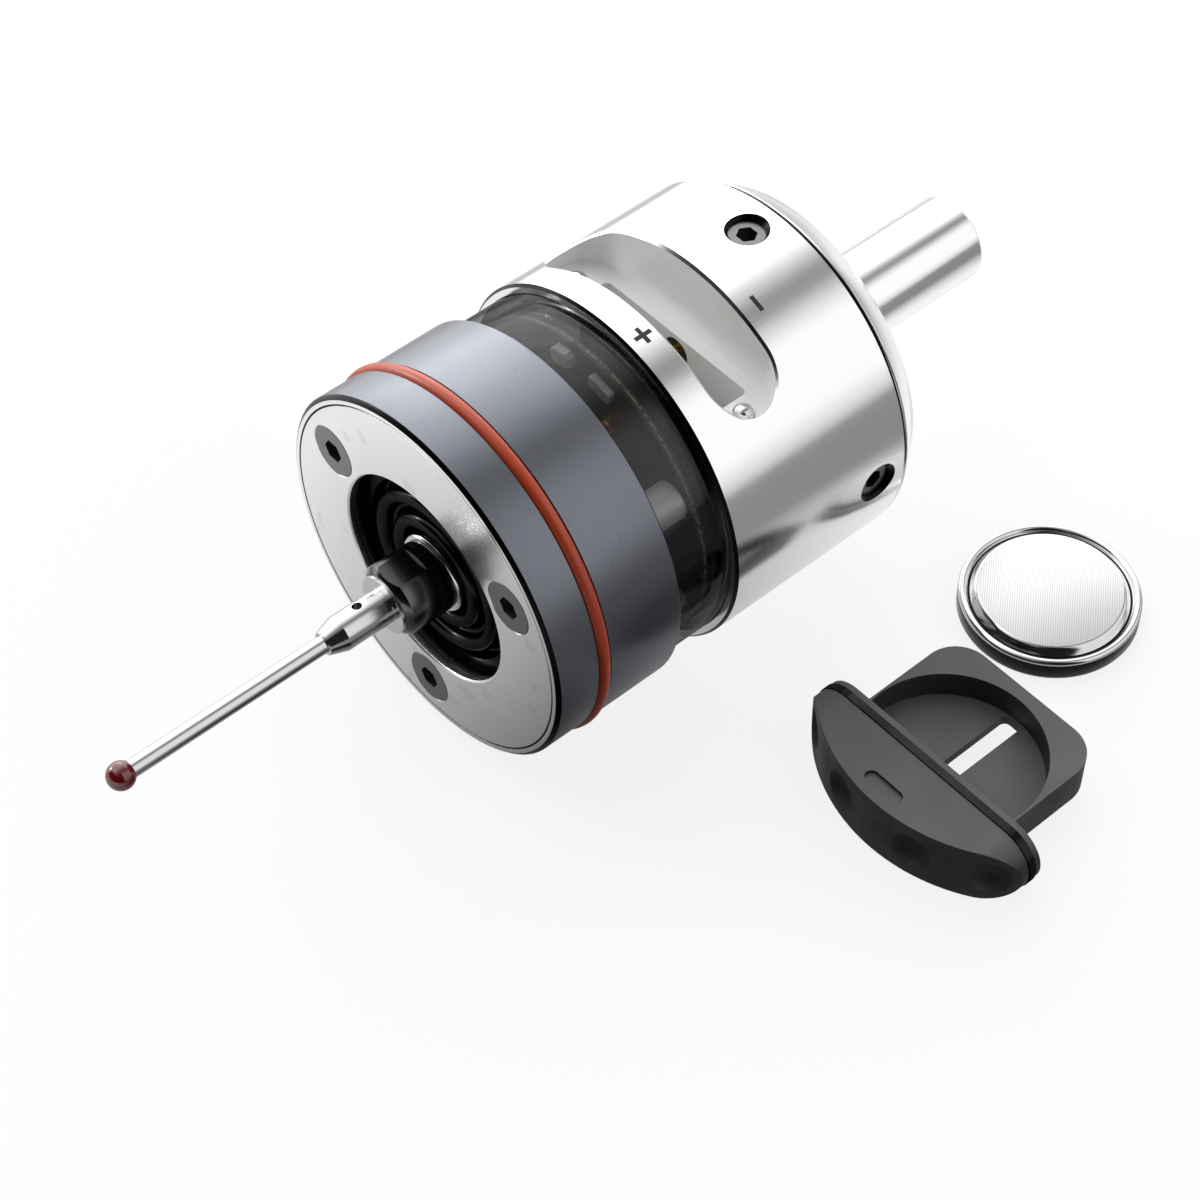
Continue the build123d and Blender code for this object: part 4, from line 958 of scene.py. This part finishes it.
def makeStylus(s):
    base = objectFrom(softenCorners(turnedMesh(s["base"], 128), s["edge"]), "stylusBase")
    hole = moveBm(cylinderAlong(s["hole"], -s["holeReach"], s["holeReach"], "Z", 32), y=s["holeY"])
    cutWith(base, [turnBm(hole, s["holeAngle"])])
    dress(base, groundSteel, "stylus", ["stylus_base"], 12)
    stem = objectFrom(turnedMesh(s["stem"], 96), "stylusStem")
    dress(stem, groundSteel, "stylus", ["stylus_stem"])
    ball = bmesh.new()
    bmesh.ops.create_uvsphere(ball, u_segments=s["ballParts"][0], v_segments=s["ballParts"][1],
                              radius=s["ball"] * mm)
    dress(objectFrom(moveBm(ball, y=s["ballY"]), "rubyBall"), ruby, "stylus", ["ruby_ball"], 60)


makeStylus(stylusSettings)
print("boot, holder and stylus made")

cellSettings = {
    "centre": (33.6, 8.35, -21.42),
    "profile": [(0, 0), (9.5, 0), (9.85, 0.15), (10, 0.5), (10, 2.35), (9.9, 2.6), (9.7, 2.75), (9.45, 2.78),
                (9.25, 2.68), (9.1, 2.45), (8.98, 2.3), (8.86, 2.28), (8.7, 2.36), (8.32, 2.86), (8.12, 3.08),
                (7.9, 3.2), (0, 3.2)],
    # the side below this height and the groove between these radii get the painted dark reflection and painted
    # shade
    "capRadius": 7.95, "sideBelow": 2.0, "groovePaintedDark": (8.55, 9.0),
    # the cap's embossed lines: spacing, the two directions, and the share of the second
    "hatch": 0.25, "hatchTurns": (-41, -72), "secondShare": 0.3, "hatchDepth": 0.20, "hatchHeight": 0.03,
    "capLow": "#cdcdcb", "capHigh": "#f6f6f4", "capMetal": 0.35, "capRoughness": 0.34,
}


def makeCellCap(s):
    # the negative cap is bright satin nickel, embossed with a fine slanting hatch
    material, tree, shader, coordinates = newMaterial("embossedCellCap", {
        "Metallic": s["capMetal"], "Roughness": s["capRoughness"]})
    waves = []
    for degrees in s["hatchTurns"]:
        turned = addNode(tree, "ShaderNodeMapping", {"Rotation": (0, 0, math.radians(degrees))},
                         {"Vector": (coordinates, "Object")})
        # a wave texture repeats every pi / 10 of its own units
        waves.append(addNode(tree, "ShaderNodeTexWave", {
            "Scale": math.pi / (10 * s["hatch"] * mm), "wave_profile": "SIN"}, {"Vector": turned}))
    both = addNode(tree, "ShaderNodeMath", {"operation": "MULTIPLY_ADD", 1: s["secondShare"]},
                   {0: (waves[1], "Fac"), 2: (waves[0], "Fac")})
    tone = addNode(tree, "ShaderNodeMapRange", {"From Max": 1 + s["secondShare"]}, {"Value": both})
    # painted shade: the hatch's low lines are darker, in step with its bump
    blendBaseColour(tree, shader, hexColour(s["capLow"]), hexColour(s["capHigh"]), tone)
    bump = addNode(tree, "ShaderNodeBump", {"Strength": s["hatchDepth"], "Distance": s["hatchHeight"] * mm},
                   {"Height": both})
    tree.links.new(bump.outputs["Normal"], shader.inputs["Normal"])
    return material


def makeCoinCell(s):
    cell = objectFrom(turnedMesh(s["profile"], 192, "Z", s["centre"]), "coinCell")
    for material in (groundSteel, makeCellCap(s), paintedDarkCanSide):
        cell.data.materials.append(material)
    centre = Vector(s["centre"]) * mm
    for face in cell.data.polygons:
        away = (face.center - centre) / mm
        radius = math.hypot(away.x, away.y)
        if radius < s["capRadius"] and face.normal.z > 0.99:
            face.material_index = 1
        # the side wall gets the painted dark reflection, the groove round the cap painted shade
        elif away.z < s["sideBelow"] or s["groovePaintedDark"][0] < radius < s["groovePaintedDark"][1]:
            face.material_index = 2
    dress(cell, None, "probe", ["coin_cell"], 60)


makeCoinCell(cellSettings)


def smoothCopy(node, name, material, body, bevel=0.0, angle=32):
    # a merged copy of a CAD node, with a small bevel on its sharp edges where one is asked for
    bm = bmesh.new()
    bm.from_mesh(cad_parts[node].data)
    bmesh.ops.remove_doubles(bm, verts=bm.verts[:], dist=2 * mergeDistance)
    if bevel:
        bmesh.ops.dissolve_limit(bm, angle_limit=math.radians(1), verts=bm.verts[:], edges=bm.edges[:])
    piece = objectFrom(facesOut(bm), name)
    if bevel:
        modifier = piece.modifiers.new("edges", "BEVEL")
        modifier.width = bevel * mm
        modifier.segments = 2
        modifier.limit_method = "ANGLE"
        modifier.angle_limit = math.radians(angle)
    dress(piece, material, body, [node], angle)
    if bevel:
        # the flat faces keep their own shading, and only the small bevels bend it
        piece.modifiers.new("flatShading", "WEIGHTED_NORMAL").keep_sharp = True
    return piece


smoothCopy("battery_tray", "batteryTray", darkNylon, "probe", bevel=0.12)


def makeSpring():
    # it goes with the follower as one piece, on a mesh of its own
    spring = smoothCopy("return_spring", "returnSpring", springWire, "follower", angle=60)
    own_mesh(spring)


makeSpring()
print("cell and tray made")

# the CAD nodes that stay as they are
nodeMaterials = {
    "adjusting_screws": blackenedSteel, "battery_sleeves": blackAcetal, "plus_contact": giltBrass,
    "minus_contact": giltBrass, "slot_seat_balls": groundSteel, "front_window_gasket": blackNitrile,
    "rear_window_gasket": blackNitrile, "snap_ring": hardenedSteel, "swivel_collar": hardenedSteel,
    "thrust_ball": groundSteel, "spring_follower": hardenedSteel, "guide_pins": groundSteel,
    "guide_balls": groundSteel, "guide_ring": blackAcetal, "seat_ring": hardenedSteel,
    "circuit_board": solderMask, "board_lamps": lampEpoxy, "board_chips": chipEpoxy,
    "contact_posts": giltBrass, "tray_gasket": blackNitrile,
}
for node, material in nodeMaterials.items():
    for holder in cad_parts[node].material_slots:
        holder.material = material
print("CAD nodes dressed")
